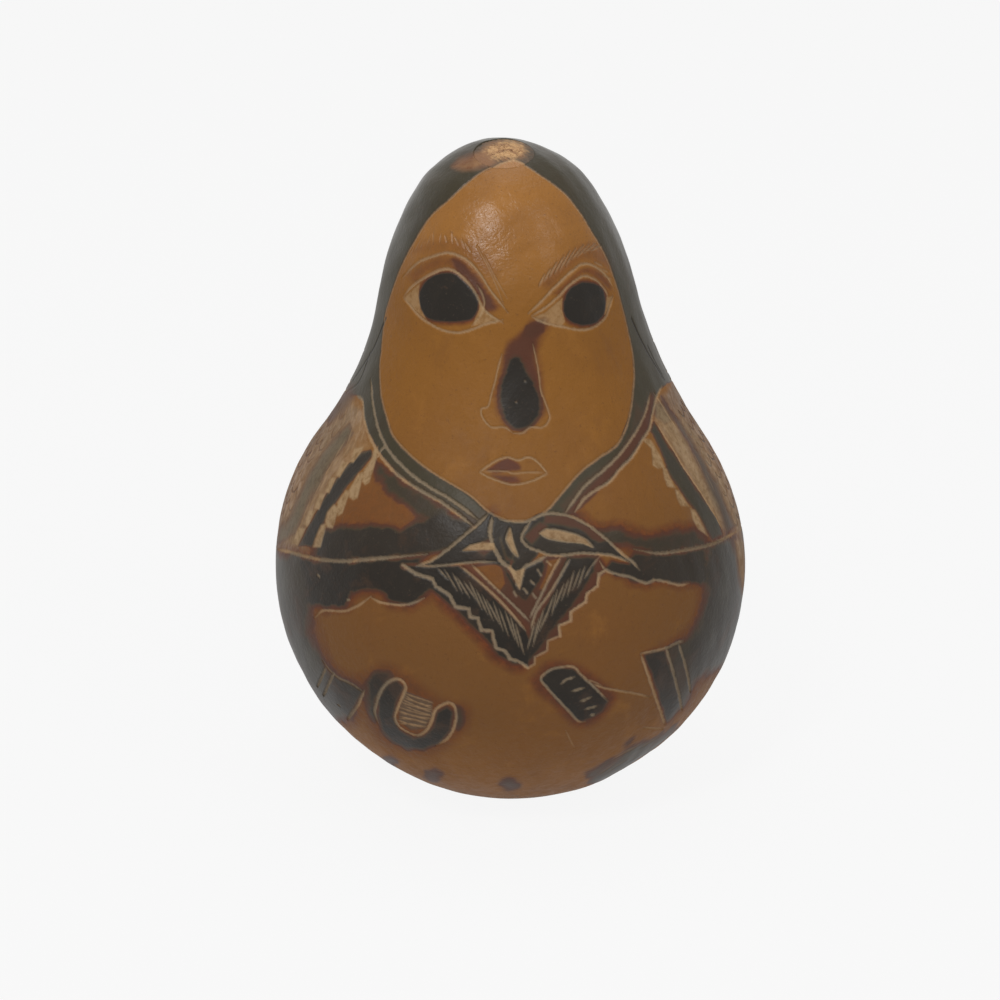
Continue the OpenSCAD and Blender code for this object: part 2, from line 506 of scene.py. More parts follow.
def left_eye(skin):
    crease = [
        (401, 277), (409, 269), (420, 261), (434, 256), (446, 253), (457, 255), (468, 261), (479, 273),
        (490, 290), (501, 304), (508, 313),
    ]
    upper_lid = [
        (402, 297), (408, 289), (417, 282), (433, 273), (445, 269), (456, 272), (467, 282), (475, 293),
        (482, 307), (491, 316), (503, 323),
    ]
    lower_lid = [
        (402, 298), (408, 304), (416, 314), (426, 322), (441, 330), (456, 333), (470, 330), (486, 324),
        (503, 320),
    ]
    inner_fold = [(477, 285), (482, 294), (484, 304), (480, 316), (471, 326)]
    iris = [
        (419, 291), (427, 279), (447, 272), (463, 280), (476, 295), (478, 307), (471, 319), (454, 322),
        (436, 322), (425, 316), (419, 305),
    ]
    white_outer = [(403, 298), (411, 290), (419, 284), (418, 296), (420, 309), (426, 320), (415, 311)]
    white_inner = [
        (479, 298), (484, 309), (496, 319), (500, 320), (486, 323), (473, 326), (475, 318), (479, 309),
    ]
    lid_shade = [
        (408, 274), (420, 265), (434, 259), (447, 256), (460, 259), (470, 266), (482, 281), (493, 297),
        (499, 307), (489, 309), (477, 290), (458, 271), (446, 267), (430, 271), (414, 281),
    ]
    lid_dark = [
        (452, 259), (466, 265), (478, 280), (490, 298), (494, 308), (486, 310), (476, 290), (462, 275),
    ]
    brow_shade = [
        (404, 252), (430, 240), (462, 240), (484, 252), (497, 276), (478, 268), (458, 251), (430, 253),
    ]
    skin.redden(brow_shade, 0.28, soft=6)
    skin.redden(lid_shade, 0.5, soft=6, ragged=2)
    skin.redden(lid_dark, 0.8, soft=6, ragged=2)
    skin.burn(lid_dark, 0.42, soft=6, ragged=2)
    skin.burn(iris, 1.0, soft=1.5, ragged=0.6, smooth=True, halo=4, red=0.9)
    for white in (white_outer, white_inner):
        skin.scratch_off(white, 0.42, keep=0.3)
    skin.lines_drawn(
        (crease, 0.36, 0.1, 1.0), (upper_lid, 0.42, 0.08, 1.0), (lower_lid, 0.38, 0.06, 1.0),
        (inner_fold, 0.34, 0.2, 0.8),
    )
    brow_feet = [
        (407, 256), (413, 251), (419, 248), (426, 245), (433, 243), (440, 242), (447, 242), (453, 243),
        (459, 245), (465, 248), (471, 252),
    ]
    for i, (x, y) in enumerate(brow_feet):
        reach = 8 + 3 * (i % 3 == 1) - 2 * (i % 4 == 2)
        hair = [(x, y), (x + 5 - 1.1 * i + 2 * (i % 2), y - reach)]
        skin.drawn(hair, 0.20, ends=0.4, strength=0.36)
    brow_tails = [[(484, 255), (495, 277), (507, 298)], [(477, 246), (492, 276), (504, 305)]]
    skin.each_drawn(brow_tails, 0.24, ends=0.3, strength=0.5)


def right_eye(skin):
    crease = [
        (528, 314), (540, 303), (552, 290), (562, 280), (572, 271), (583, 264), (595, 266), (608, 276),
        (616, 289),
    ]
    upper_lid = [
        (532, 316), (545, 308), (558, 297), (566, 288), (576, 280), (585, 276), (598, 281), (607, 291),
        (610, 300),
    ]
    lower_lid = [
        (532, 317), (545, 323), (563, 327), (581, 330), (595, 327), (606, 319), (611, 309), (615, 296),
    ]
    iris = [
        (562, 301), (568, 289), (581, 282), (595, 283), (604, 289), (607, 300), (606, 313), (598, 322),
        (583, 325), (568, 320), (562, 311),
    ]
    white_inner = [
        (534, 317), (545, 313), (556, 303), (562, 298), (562, 310), (565, 321), (562, 326), (545, 322),
    ]
    white_outer = [(608, 297), (614, 296), (611, 308), (606, 315)]
    lid_shade = [
        (553, 294), (572, 276), (584, 268), (597, 270), (609, 280), (612, 290), (603, 283), (586, 273),
        (573, 280), (560, 294),
    ]
    brow_shade = [
        (541, 285), (551, 268), (572, 250), (592, 243), (606, 250), (616, 270), (600, 263), (583, 260),
        (566, 272), (550, 288),
    ]
    skin.redden(brow_shade, 0.45, soft=5)
    skin.redden(lid_shade, 0.7, soft=3)
    skin.burn(iris, 1.0, soft=1.5, ragged=0.6, smooth=True, halo=4, red=0.9)
    skin.scratch_off(white_inner, 0.42, keep=0.3)
    skin.scratch_off(white_outer, 0.4, keep=0.3)
    skin.lines_drawn(
        (crease, 0.38, 0.1, 1.0), (upper_lid, 0.36, 0.08, 1.0), (lower_lid, 0.38, 0.06, 1.0),
    )
    brow_hairs = [
        [(539, 286), (545, 274)], [(544, 281), (551, 268)], [(549, 277), (557, 262)],
        [(554, 274), (564, 256)], [(559, 271), (570, 251)], [(565, 266), (576, 248)],
        [(571, 260), (584, 245)], [(577, 257), (590, 244)], [(584, 253), (597, 243)],
        [(591, 251), (602, 245)],
    ]
    skin.each_drawn(brow_hairs, 0.25, ends=0.35, strength=0.85)
    corner_scribbles = [[(595, 262), (604, 266)], [(599, 268), (610, 272)], [(604, 275), (614, 279)]]
    skin.each_drawn(corner_scribbles, 0.24, ends=0.2, strength=0.7)


def nose(skin):
    outline = [
        (502, 354), (498, 368), (495, 381), (491, 395), (488, 406), (481, 409), (482, 417), (491, 427),
        (504, 427), (513, 433), (522, 433), (531, 427), (543, 427), (550, 419), (549, 411), (544, 398),
        (541, 390), (538, 367), (533, 344),
    ]
    black = [
        (509, 360), (515, 356), (523, 360), (529, 374), (536, 388), (541, 399), (542, 410), (538, 420),
        (526, 428), (513, 427), (503, 418), (500, 403), (502, 384),
    ]
    halo = [
        (505, 356), (508, 344), (522, 336), (533, 344), (537, 368), (543, 396), (546, 410), (536, 423),
        (522, 429), (506, 425), (498, 410), (499, 386),
    ]
    bridge = [
        (507, 357), (512, 349), (519, 342), (525, 331), (531, 322), (545, 318), (547, 326), (539, 335),
        (534, 350),
    ]
    spot = [(527, 327), (541, 322), (543, 331), (532, 338), (524, 338)]
    skin.redden(halo, 0.9, soft=7, ragged=3)
    skin.redden(bridge, 0.8, soft=7, ragged=3)
    skin.redden(spot, 1.0, soft=3)
    skin.burn(halo, 0.34, soft=9)
    skin.burn(bridge, 0.34, soft=8)
    skin.burn(spot, 0.62, soft=4)
    skin.burn(black, 1.0, soft=3.6, ragged=1.6, smooth=True)
    skin.lines_drawn(
        (outline[:10], 0.29, 0.08, 0.85), (outline[9:], 0.28, 0.08, 0.85),
    )
    light_specks = [(525, 381), (516, 402)]
    for x, y in light_specks:
        skin.drawn([(x - 0.5, y), (x + 0.5, y)], 0.20, strength=0.6)


def lips(skin):
    upper = [(479, 472), (495, 461), (507, 457), (518, 460), (528, 457), (537, 461), (548, 473)]
    lower = [(548, 473), (531, 481), (516, 484), (506, 483), (491, 478), (479, 472)]
    parting = [(484, 471), (505, 471), (513, 473), (528, 472), (543, 472)]
    scorched = [(487, 470), (495, 464), (507, 458), (518, 463), (520, 469), (506, 471), (495, 473)]
    lower_scorch = [(491, 475), (515, 476), (520, 482), (506, 483)]
    skin.redden(scorched, 0.95, soft=2.5)
    skin.redden(lower_scorch, 0.85, soft=3.5)
    skin.burn(lower_scorch, 0.22, soft=3.5)
    skin.burn(scorched, 0.24, soft=2.5, ragged=1.2)
    skin.lines_drawn(
        (upper, 0.31, 0.05, 1.0), (lower, 0.29, 0.05, 1.0), (parting, 0.26, 0.1, 0.8),
    )


BELLY_LINE_LEFT = [(272, 548), (289, 552), (316, 559), (344, 561), (381, 558), (427, 554)]
BELLY_LINE_RIGHT = [(634, 549), (659, 553), (685, 550), (712, 544), (738, 531)]


def belly_bands(skin):
    """The line cut round the belly, with the burnt bands above and below it."""
    upper_left = [
        (308, 558), (316, 542), (324, 531), (345, 527), (372, 527), (400, 528), (412, 523), (424, 517),
        (445, 513), (462, 519), (480, 523), (490, 514), (467, 533), (448, 549), (427, 556), (381, 560),
        (344, 562),
    ]
    under_scarf = [
        (374, 458), (384, 466), (401, 481), (421, 495), (446, 509), (466, 524), (480, 530), (460, 538),
        (438, 532), (418, 514), (398, 500), (384, 486), (374, 470),
    ]
    upper_right = [
        (575, 515), (596, 531), (620, 529), (640, 534), (660, 536), (680, 529), (694, 527), (700, 530),
        (708, 546), (685, 551), (659, 554), (634, 550), (612, 544), (591, 527),
    ]
    lower_left = [
        (290, 554), (316, 560), (344, 562), (381, 559), (427, 555), (420, 566), (403, 566), (432, 579),
        (435, 580), (432, 588), (424, 598), (413, 603), (400, 604), (390, 602), (384, 594), (375, 590),
        (360, 590), (352, 594), (345, 606), (328, 608), (311, 606), (296, 602),
    ]
    skin.burn(under_scarf, 0.85, soft=6.0, ragged=2.5, halo=9, red=0.55)
    skin.burn(upper_left, 0.94, soft=5.0, ragged=2.0, halo=10, red=0.6)
    skin.burn(upper_right, 0.86, soft=5.0, ragged=2.0, halo=9, red=0.9)
    skin.burn(lower_left, 0.98, soft=4.0, ragged=1.6, halo=8, red=0.9)
    skin.drawn(BELLY_LINE_LEFT, 0.58, ends=0.2, deep=1.4)
    skin.drawn(BELLY_LINE_RIGHT, 0.50, ends=0.2, deep=1.4)


def sleeves(skin):
    """Burnt arms down both sides, with their striped cuffs."""
    left_arm = [
        (240, 552), (300, 556), (311, 606), (309, 615), (311, 633), (318, 651), (326, 666), (336, 676),
        (350, 683), (363, 691), (350, 718), (318, 724), (275, 690), (240, 610),
    ]
    left_cuff = [(333, 676), (350, 684), (362, 692), (347, 716), (338, 708), (324, 698)]
    right_arm = [
        (706, 545), (722, 541), (734, 536), (739, 560), (742, 585), (752, 605), (754, 640), (724, 664),
        (698, 680), (684, 704), (672, 700), (667, 650), (677, 643), (688, 637), (696, 627), (702, 615),
        (705, 602), (706, 590), (703, 580),
    ]
    right_dark = [
        (634, 552), (659, 556), (685, 553), (706, 547), (706, 580), (700, 584), (688, 583), (680, 586),
        (668, 582), (655, 580), (646, 584), (631, 581), (628, 560),
    ]
    cuff_dark = [(645, 655), (665, 650), (681, 706), (668, 723)]
    cuff_rim = [(667, 648), (677, 643), (690, 640), (692, 690), (682, 708), (676, 690)]
    # Painted sheen: a pale strip scraped lighter along the belly's right edge, where the skin turns away,
    # stands in for its pale reflection.
    painted_edge_sheen = [(735, 540), (762, 540), (762, 606), (744, 600), (739, 574)]
    elbow_scorch = [(690, 575), (706, 580), (708, 602), (698, 628), (686, 640), (694, 616), (697, 596)]
    skin.burn(left_arm, 0.88, soft=7.0, ragged=2.0, halo=10, red=0.7)
    skin.burn(left_cuff, 0.92, soft=3.0)
    skin.redden(elbow_scorch, 0.4, soft=6)
    skin.burn(right_arm, 0.90, soft=6.0, ragged=2.0, halo=9, red=0.7)
    skin.burn(right_dark, 0.92, soft=3.0, ragged=1.2, halo=7, red=0.7)
    skin.scratch_off(painted_edge_sheen, 0.3, soft=3.0, keep=0.2)
    skin.burn(cuff_dark, 0.95, soft=2.2, ragged=1.0, halo=5, red=0.7)
    skin.burn(cuff_rim, 0.85, soft=3.0, ragged=1.0)
    left_stripes = [[(326, 668), (317, 687)], [(334, 673), (323, 696)]]
    left_edge = [(322, 660), (327, 667), (337, 677), (351, 684), (362, 692)]
    left_cuff_edge = [(364, 691), (357, 706), (347, 720)]
    right_edge = [(684, 641), (677, 643), (667, 648), (655, 651), (641, 654)]
    right_cuff_lines = [
        [(641, 654), (653, 688), (666, 726)], [(666, 647), (675, 678), (683, 711)],
        [(679, 644), (686, 668), (691, 693)],
    ]
    right_foot = [(644, 729), (664, 730)]
    skin.each_drawn(left_stripes, 0.44, ends=0.12)
    skin.lines_drawn(
        (left_edge, 0.34, 0.15, 0.85), (left_cuff_edge, 0.46, 0.12, 1.0), (right_edge, 0.42, 0.1, 1.0),
    )
    skin.each_drawn(right_cuff_lines, 0.48, ends=0.08)
    skin.drawn(right_foot, 0.34, ends=0.2, strength=0.8)
    left_hand_upper = [(314, 618), (322, 611), (333, 611), (345, 611), (357, 606), (366, 600), (371, 596)]
    left_hand_lower = [(370, 597), (379, 602), (390, 604), (402, 605), (413, 603), (424, 598)]
    right_hand_top = [
        (600, 561), (606, 570), (617, 574), (631, 577), (646, 583), (655, 580), (668, 582), (680, 585),
        (690, 583),
    ]
    skin.lines_drawn(
        (left_hand_upper, 0.36, 0.2, 1.0), (left_hand_lower, 0.40, 0.2, 1.0),
        (right_hand_top, 0.44, 0.1, 1.0),
    )


def knot(skin):
    """Knot of the scarf under the chin, with its two ends spread on the chest."""
    left_lobe = [
        (416, 566), (432, 560), (448, 549), (467, 533), (477, 525), (488, 512), (499, 519), (512, 521),
        (519, 534), (516, 552), (510, 568), (496, 563), (456, 564), (432, 567),
    ]
    right_lobe = [
        (512, 521), (524, 521), (532, 519), (543, 512), (567, 515), (580, 520), (591, 527), (603, 536),
        (612, 544), (623, 554), (633, 562), (640, 570), (630, 562), (614, 556), (599, 554), (580, 553),
        (566, 555), (551, 555), (539, 551), (524, 568), (519, 589), (510, 566), (514, 545),
    ]
    tail = [(612, 561), (628, 564), (639, 570), (651, 576), (650, 583), (631, 579), (617, 575), (604, 568)]
    upper_edge_left = left_lobe[:5] + [(488, 514)]
    lower_edge_left = [(416, 566), (432, 566), (456, 564), (475, 562), (496, 562)]
    pale_wedge = [(462, 551), (470, 545), (483, 542), (494, 543), (495, 550), (480, 550)]
    left_edge = [
        (492, 517), (490, 531), (492, 543), (496, 552), (502, 562), (510, 568), (515, 576), (519, 589),
    ]
    point = [(508, 566), (516, 571), (525, 568), (522, 578), (520, 590), (515, 580)]
    right_branch = [(519, 589), (522, 576), (524, 568), (535, 562), (547, 556)]
    top_edge = [(499, 519)] + right_lobe[:3] + [(543, 514), (553, 513)] + right_lobe[4:12]
    inner_edge = [(532, 519), (528, 525), (522, 535), (523, 541), (529, 547)] + right_lobe[12:19][::-1]
    centre_leaf = [(510, 528), (506, 539), (512, 551), (518, 556), (514, 544)]
    right_leaf = [
        (540, 533), (547, 529), (559, 530), (575, 534), (586, 539), (593, 547), (583, 543), (563, 541),
        (548, 538),
    ]
    skin.burn(left_lobe, 0.97, soft=1.4, ragged=1.0)
    skin.burn(right_lobe, 0.95, soft=1.4, ragged=1.2)
    skin.burn(tail, 0.95, soft=2.0, ragged=1.2, halo=4, red=0.7)
    maroon_spots = [
        [(472, 548), (490, 538), (494, 548), (484, 556)], [(524, 536), (540, 522), (548, 526), (532, 544)],
        [(500, 538), (506, 556), (514, 562), (506, 560)],
    ]
    for spot in maroon_spots:
        skin.burn(spot, 0.6, soft=3)
        skin.redden(spot, 0.9, soft=3)
    brown_top = [
        (545, 514), (568, 516), (592, 528), (606, 540), (600, 541), (580, 530), (560, 524), (545, 523),
    ]
    skin.burn(brown_top, 0.55, soft=2.5, ragged=1.5)
    skin.redden(brown_top, 0.8, soft=3)
    for place, level in ((pale_wedge, 0.6), (centre_leaf, 0.65), (right_leaf, 0.6), (point, 0.55)):
        skin.scratch_off(place, level, keep=0.2)
    skin.lines_drawn(
        (upper_edge_left, 0.46, 0.08, 1.0), (lower_edge_left, 0.34, 0.15, 0.9),
        (left_edge, 0.66, 0.06, 1.0), (right_branch, 0.54, 0.1, 1.0), (top_edge, 0.50, 0.06, 1.0),
        (inner_edge, 0.48, 0.08, 1.0), (centre_leaf + centre_leaf[:1], 0.28, 0.0, 1.0),
        (right_leaf + right_leaf[:1], 0.30, 0.0, 1.0),
    )


COLLAR_LEFT = [
    (403, 565), (416, 574), (432, 579), (435, 586), (449, 595), (455, 607), (469, 609), (470, 617),
    (478, 618), (481, 630), (492, 631), (496, 648), (505, 651), (510, 659), (518, 661), (528, 668),
]
COLLAR_RIGHT = [
    (528, 668), (535, 664), (535, 657), (547, 651), (548, 641), (560, 636), (559, 626), (571, 621),
    (571, 612), (586, 602), (587, 594), (598, 586), (599, 574), (607, 570),
]


def collar(skin):
    """The blouse's pointed opening: stepped edges, rows of short cuts and burnt bands."""
    inside = COLLAR_LEFT + COLLAR_RIGHT + [
        (600, 556), (566, 556), (524, 568), (519, 589), (496, 563), (432, 567),
    ]
    band_left = COLLAR_LEFT + [(531, 645), (526, 631), (496, 600), (470, 575), (458, 566), (430, 567)]
    edging_left = [(408, 570)] + COLLAR_LEFT[1:15] + [
        (522, 665), (512, 664), (498, 656), (485, 640), (471, 626), (460, 615), (448, 606), (440, 596),
        (428, 586),
    ]
    band_right = [
        (567, 557), (598, 556), (596, 572), (586, 588), (577, 600), (566, 614), (552, 632), (542, 646),
        (530, 660), (527, 650), (531, 629), (545, 605), (556, 585),
    ]
    strip_right = [
        (600, 560), (609, 570), (599, 578), (598, 586), (587, 594), (586, 602), (571, 612), (571, 621),
        (559, 626), (560, 636), (548, 641), (547, 651), (536, 657), (530, 664), (545, 640), (572, 606),
        (592, 582),
    ]
    inner_v = [
        (470, 566), (496, 562), (510, 568), (519, 589), (524, 568), (545, 556), (566, 557), (552, 588),
        (531, 626), (500, 596),
    ]
    golden_left = [(470, 567), (496, 563), (503, 568), (506, 584), (500, 592), (486, 580)]
    golden_right = [(548, 560), (562, 557), (553, 574), (543, 590), (538, 590), (545, 575)]
    hanging_dark = [
        (502, 564), (519, 589), (528, 566), (541, 560), (545, 566), (540, 582), (526, 600), (514, 592),
    ]
    skin.burn(inside, 0.25, soft=1.5)
    skin.redden(inside, 0.8, soft=3)
    skin.burn(edging_left, 0.97, soft=3.0, ragged=1.0, halo=9, red=1.0)
    skin.burn(band_left, 1.0, soft=1.3)
    skin.burn(strip_right, 0.40, soft=2.5)
    skin.redden(strip_right, 1.0, soft=4)
    skin.burn(band_right, 0.97, soft=3.5, ragged=1.2)
    skin.burn(inner_v, 0.66, soft=2.0)
    skin.redden(inner_v, 1.0, soft=2)
    for place in (golden_left, golden_right):
        skin.burn(place, 0.0, soft=3.0)
        skin.redden(place, 0.25, soft=3.0)
    skin.burn(hanging_dark, 1.0, soft=2.5, ragged=1.0)
    seams = [
        [(472, 565), (486, 579), (508, 600), (529, 621)],
        [(460, 566), (478, 581), (496, 597), (512, 614), (526, 631)],
        [(570, 559), (551, 592), (537, 611), (531, 629)], [(561, 557), (553, 571), (542, 594), (530, 618)],
    ]
    skin.each_drawn(seams, 0.40, ends=0.08)
    skin.drawn(COLLAR_LEFT, 0.55, smooth=False)
    skin.drawn(COLLAR_RIGHT[:6], 0.34, smooth=False, strength=0.8)
    skin.drawn(COLLAR_RIGHT[5:], 0.48, smooth=False)
    cuts_left = [
        [(438, 568), (447, 581)], [(444, 568), (457, 589)], [(451, 571), (463, 592)],
        [(458, 576), (470, 598)], [(464, 581), (476, 603)], [(470, 583), (482, 608)],
        [(476, 590), (488, 614)], [(482, 594), (493, 618)], [(488, 600), (499, 625)],
        [(494, 604), (504, 630)], [(500, 609), (509, 636)], [(505, 612), (515, 641)],
        [(510, 616), (519, 648)], [(516, 622), (523, 655)],
    ]
    cuts_right = [
        [(598, 556), (592, 570)], [(591, 564), (584, 579)], [(585, 568), (578, 587)],
        [(580, 570), (572, 590)], [(575, 572), (567, 596)], [(569, 578), (561, 602)],
        [(564, 584), (555, 608)], [(559, 588), (551, 614)], [(554, 596), (545, 622)],
        [(550, 604), (541, 630)], [(545, 608), (536, 638)], [(540, 616), (531, 644)],
        [(535, 622), (528, 650)],
    ]
    unsteady = np.random.default_rng(31)
    for cut in cuts_left + cuts_right:
        shaken = np.array(cut) + unsteady.normal(0, (0.8, 1.8), (2, 2))
        skin.drawn(shaken, 0.24 + 0.05 * unsteady.random(), ends=0.3, strength=0.85)
    flecks = [
        [(538, 570), (541, 575)], [(531, 581), (534, 584)], [(514, 592), (516, 596)],
        [(524, 589), (527, 593)], [(547, 561), (551, 565)], [(533, 594), (536, 598)],
    ]
    skin.each_drawn(flecks, 0.38, strength=0.8)


def left_hand(skin):
    """Curled fingers on the left of the belly."""
    cut_edge = [
        (377, 724), (374, 713), (376, 703), (380, 692), (386, 684), (394, 680), (401, 681), (405, 688),
        (402, 697), (398, 706), (394, 716), (395, 723), (400, 729), (409, 734), (418, 736), (426, 731),
        (431, 722), (435, 711), (442, 705), (450, 703), (455, 708), (456, 718), (453, 730), (446, 740),
        (436, 746),
    ]
    black = [
        (386, 686), (396, 682), (403, 688), (395, 706), (392, 718), (399, 731), (413, 739), (424, 737),
        (433, 727), (437, 712), (447, 705), (454, 712), (450, 731), (438, 745), (424, 750), (407, 750),
        (392, 744), (381, 732), (376, 716), (378, 699),
    ]
    smudge = [
        (366, 682), (378, 671), (390, 674), (386, 684), (378, 700), (376, 722), (368, 716), (365, 698),
    ]
    right_smudge = [(456, 706), (462, 708), (463, 722), (457, 730)]
    patch = [(404, 692), (432, 702), (432, 716), (425, 729), (410, 731), (398, 722), (398, 710)]
    flush = [
        (360, 676), (384, 664), (406, 674), (440, 698), (470, 708), (462, 734), (430, 756), (386, 748),
        (364, 718),
    ]
    skin.redden(flush, 0.55, soft=8)
    skin.burn(smudge, 0.94, soft=5, ragged=1.5, smooth=True)
    skin.burn(right_smudge, 0.8, soft=4, ragged=1.0, smooth=True)
    skin.burn(black, 0.98, soft=3.0, ragged=0.8)
    skin.burn(patch, 0.60, soft=2.0)
    skin.redden(patch, 0.6, soft=2.0)
    skin.scratch_off(patch, 0.12, soft=2.0, keep=0.85)
    skin.drawn(cut_edge, 0.50, ends=0.06)
    unsteady = np.random.default_rng(32)
    rows = 13
    for row in range(rows):
        share = row / (rows - 1)
        left = (403 - 6 * share, 694 + 31 * share)
        right = (434 - 9 * share, 705 + 24 * share)
        wave = 1.6 if row % 2 else -1.2
        middle = ((left[0] + right[0]) / 2, (left[1] + right[1]) / 2 + wave)
        shaken = np.array([left, middle, right]) + unsteady.normal(0, (1.3, 0.7), (3, 2))
        skin.drawn(shaken, 0.25, ends=0.15, strength=0.9, clears=0.8)


def right_hand(skin):
    """Fingers on the right of the belly, with a cut between each two."""
    block = [
        (541, 680), (548, 672), (558, 668), (573, 668), (582, 676), (594, 687), (608, 701), (602, 711),
        (594, 717), (583, 722), (577, 721), (570, 714), (556, 698), (545, 686),
    ]
    halo = [
        (530, 680), (544, 664), (560, 661), (580, 666), (600, 680), (616, 694), (612, 706), (594, 724),
        (574, 726), (552, 704), (536, 692),
    ]
    left_edge = [
        (608, 701), (594, 687), (582, 676), (573, 667), (558, 668), (549, 671), (541, 679), (548, 689),
        (558, 700), (570, 713), (579, 722), (586, 722),
    ]
    fingers = [
        [(561, 685), (567, 680), (575, 677)], [(572, 692), (578, 690), (585, 688)],
        [(580, 702), (586, 700), (592, 697)], [(585, 710), (591, 708), (597, 706)],
        [(590, 716), (595, 714)],
    ]
    wrist = [(592, 684), (604, 688), (620, 691), (636, 694), (651, 698)]
    knuckle = [(588, 680), (596, 683), (602, 686)]
    stray = [(566, 731), (570, 740), (575, 749)]
    skin.redden(halo, 0.8, soft=6)
    skin.burn(halo, 0.15, soft=6)
    skin.burn(block, 0.98, soft=2.0, ragged=0.9)
    skin.drawn(left_edge, 0.40, ends=0.08)
    skin.each_drawn(fingers, 0.50, ends=0.3)
    skin.lines_drawn(
        (wrist, 0.34, 0.15, 1.0), (knuckle, 0.24, 0.2, 0.8), (stray, 0.24, 0.3, 0.5),
    )


def streaks(skin, lines, width, strength):
    """Shallow scratches side by side."""
    skin.each_drawn(lines, width, ends=0.3, strength=strength, deep=0.3)


def shawl_left(skin):
    stripe = [
        (370, 448), (373, 455), (362, 466), (347, 485), (337, 499), (328, 508), (321, 527), (311, 546),
        (297, 546), (307, 527), (318, 509), (330, 487), (344, 466), (360, 452),
    ]
    outer_stripe = [
        (347, 424), (350, 432), (338, 452), (323, 473), (311, 493), (303, 512), (292, 534), (276, 544),
        (280, 530), (292, 512), (299, 492), (310, 472), (322, 451), (338, 431),
    ]
    pale_right = [
        [(377, 446), (376, 459), (370, 462), (372, 450)],
        [(376, 457), (369, 482), (365, 485), (362, 481), (363, 469), (371, 458)],
        [(364, 471), (357, 498), (353, 500), (349, 497), (349, 489), (358, 473)],
        [(350, 490), (342, 513), (337, 516), (336, 511), (337, 502), (345, 490)],
        [(338, 508), (332, 528), (326, 527), (324, 520), (326, 512), (333, 504)],
        [(326, 523), (319, 547), (311, 547), (314, 538), (320, 525)],
    ]
    pale_left = [
        [(362, 449), (352, 462), (348, 461), (353, 448), (362, 446)],
        [(347, 462), (339, 477), (335, 475), (341, 460)], [(335, 478), (328, 493), (324, 491), (330, 477)],
        [(324, 494), (318, 509), (313, 508), (319, 493)], [(314, 510), (306, 526), (302, 524), (308, 510)],
        [(304, 528), (296, 545), (291, 543), (297, 528)],
    ]
    tan_place = [
        (348, 396), (360, 402), (364, 432), (371, 446), (352, 458), (330, 484), (306, 516), (296, 545),
        (276, 540), (285, 510), (302, 474), (324, 432), (340, 404),
    ]
    flush = [(384, 470), (420, 496), (470, 522), (400, 528), (322, 532), (350, 494)]
    hood_shade = [(338, 388), (352, 384), (352, 398), (341, 414), (328, 424), (320, 414)]
    skin.redden(flush, 0.34, soft=12)
    skin.scratch_off(tan_place, 0.22, soft=4.0, keep=1.0)
    skin.burn(outer_stripe, 0.80, soft=5.0, ragged=1.2)
    skin.burn(hood_shade, 0.4, soft=6.0)
    skin.burn(stripe, 0.95, soft=2.0, ragged=0.8)
    for tooth in pale_right + pale_left:
        skin.scratch_off(tooth, 0.65, soft=1.3)
    streaks(skin, [
        [(352, 396), (349, 416)], [(357, 402), (354, 424)], [(346, 404), (341, 424)],
        [(360, 412), (357, 434)], [(364, 424), (359, 442)], [(352, 424), (345, 444)],
        [(356, 434), (350, 450)], [(340, 408), (332, 428)],
    ], 0.34, 0.6)
    streaks(skin, [
        [(349, 444), (340, 458)], [(343, 440), (333, 458)], [(338, 456), (329, 472)],
        [(332, 460), (323, 476)], [(327, 474), (318, 490)], [(321, 480), (312, 497)],
        [(316, 492), (307, 510)], [(309, 500), (301, 518)], [(303, 516), (295, 534)],
        [(326, 428), (315, 448)], [(318, 440), (307, 460)], [(309, 454), (299, 476)],
        [(301, 470), (292, 492)], [(294, 488), (286, 510)],
    ], 0.36, 0.62)


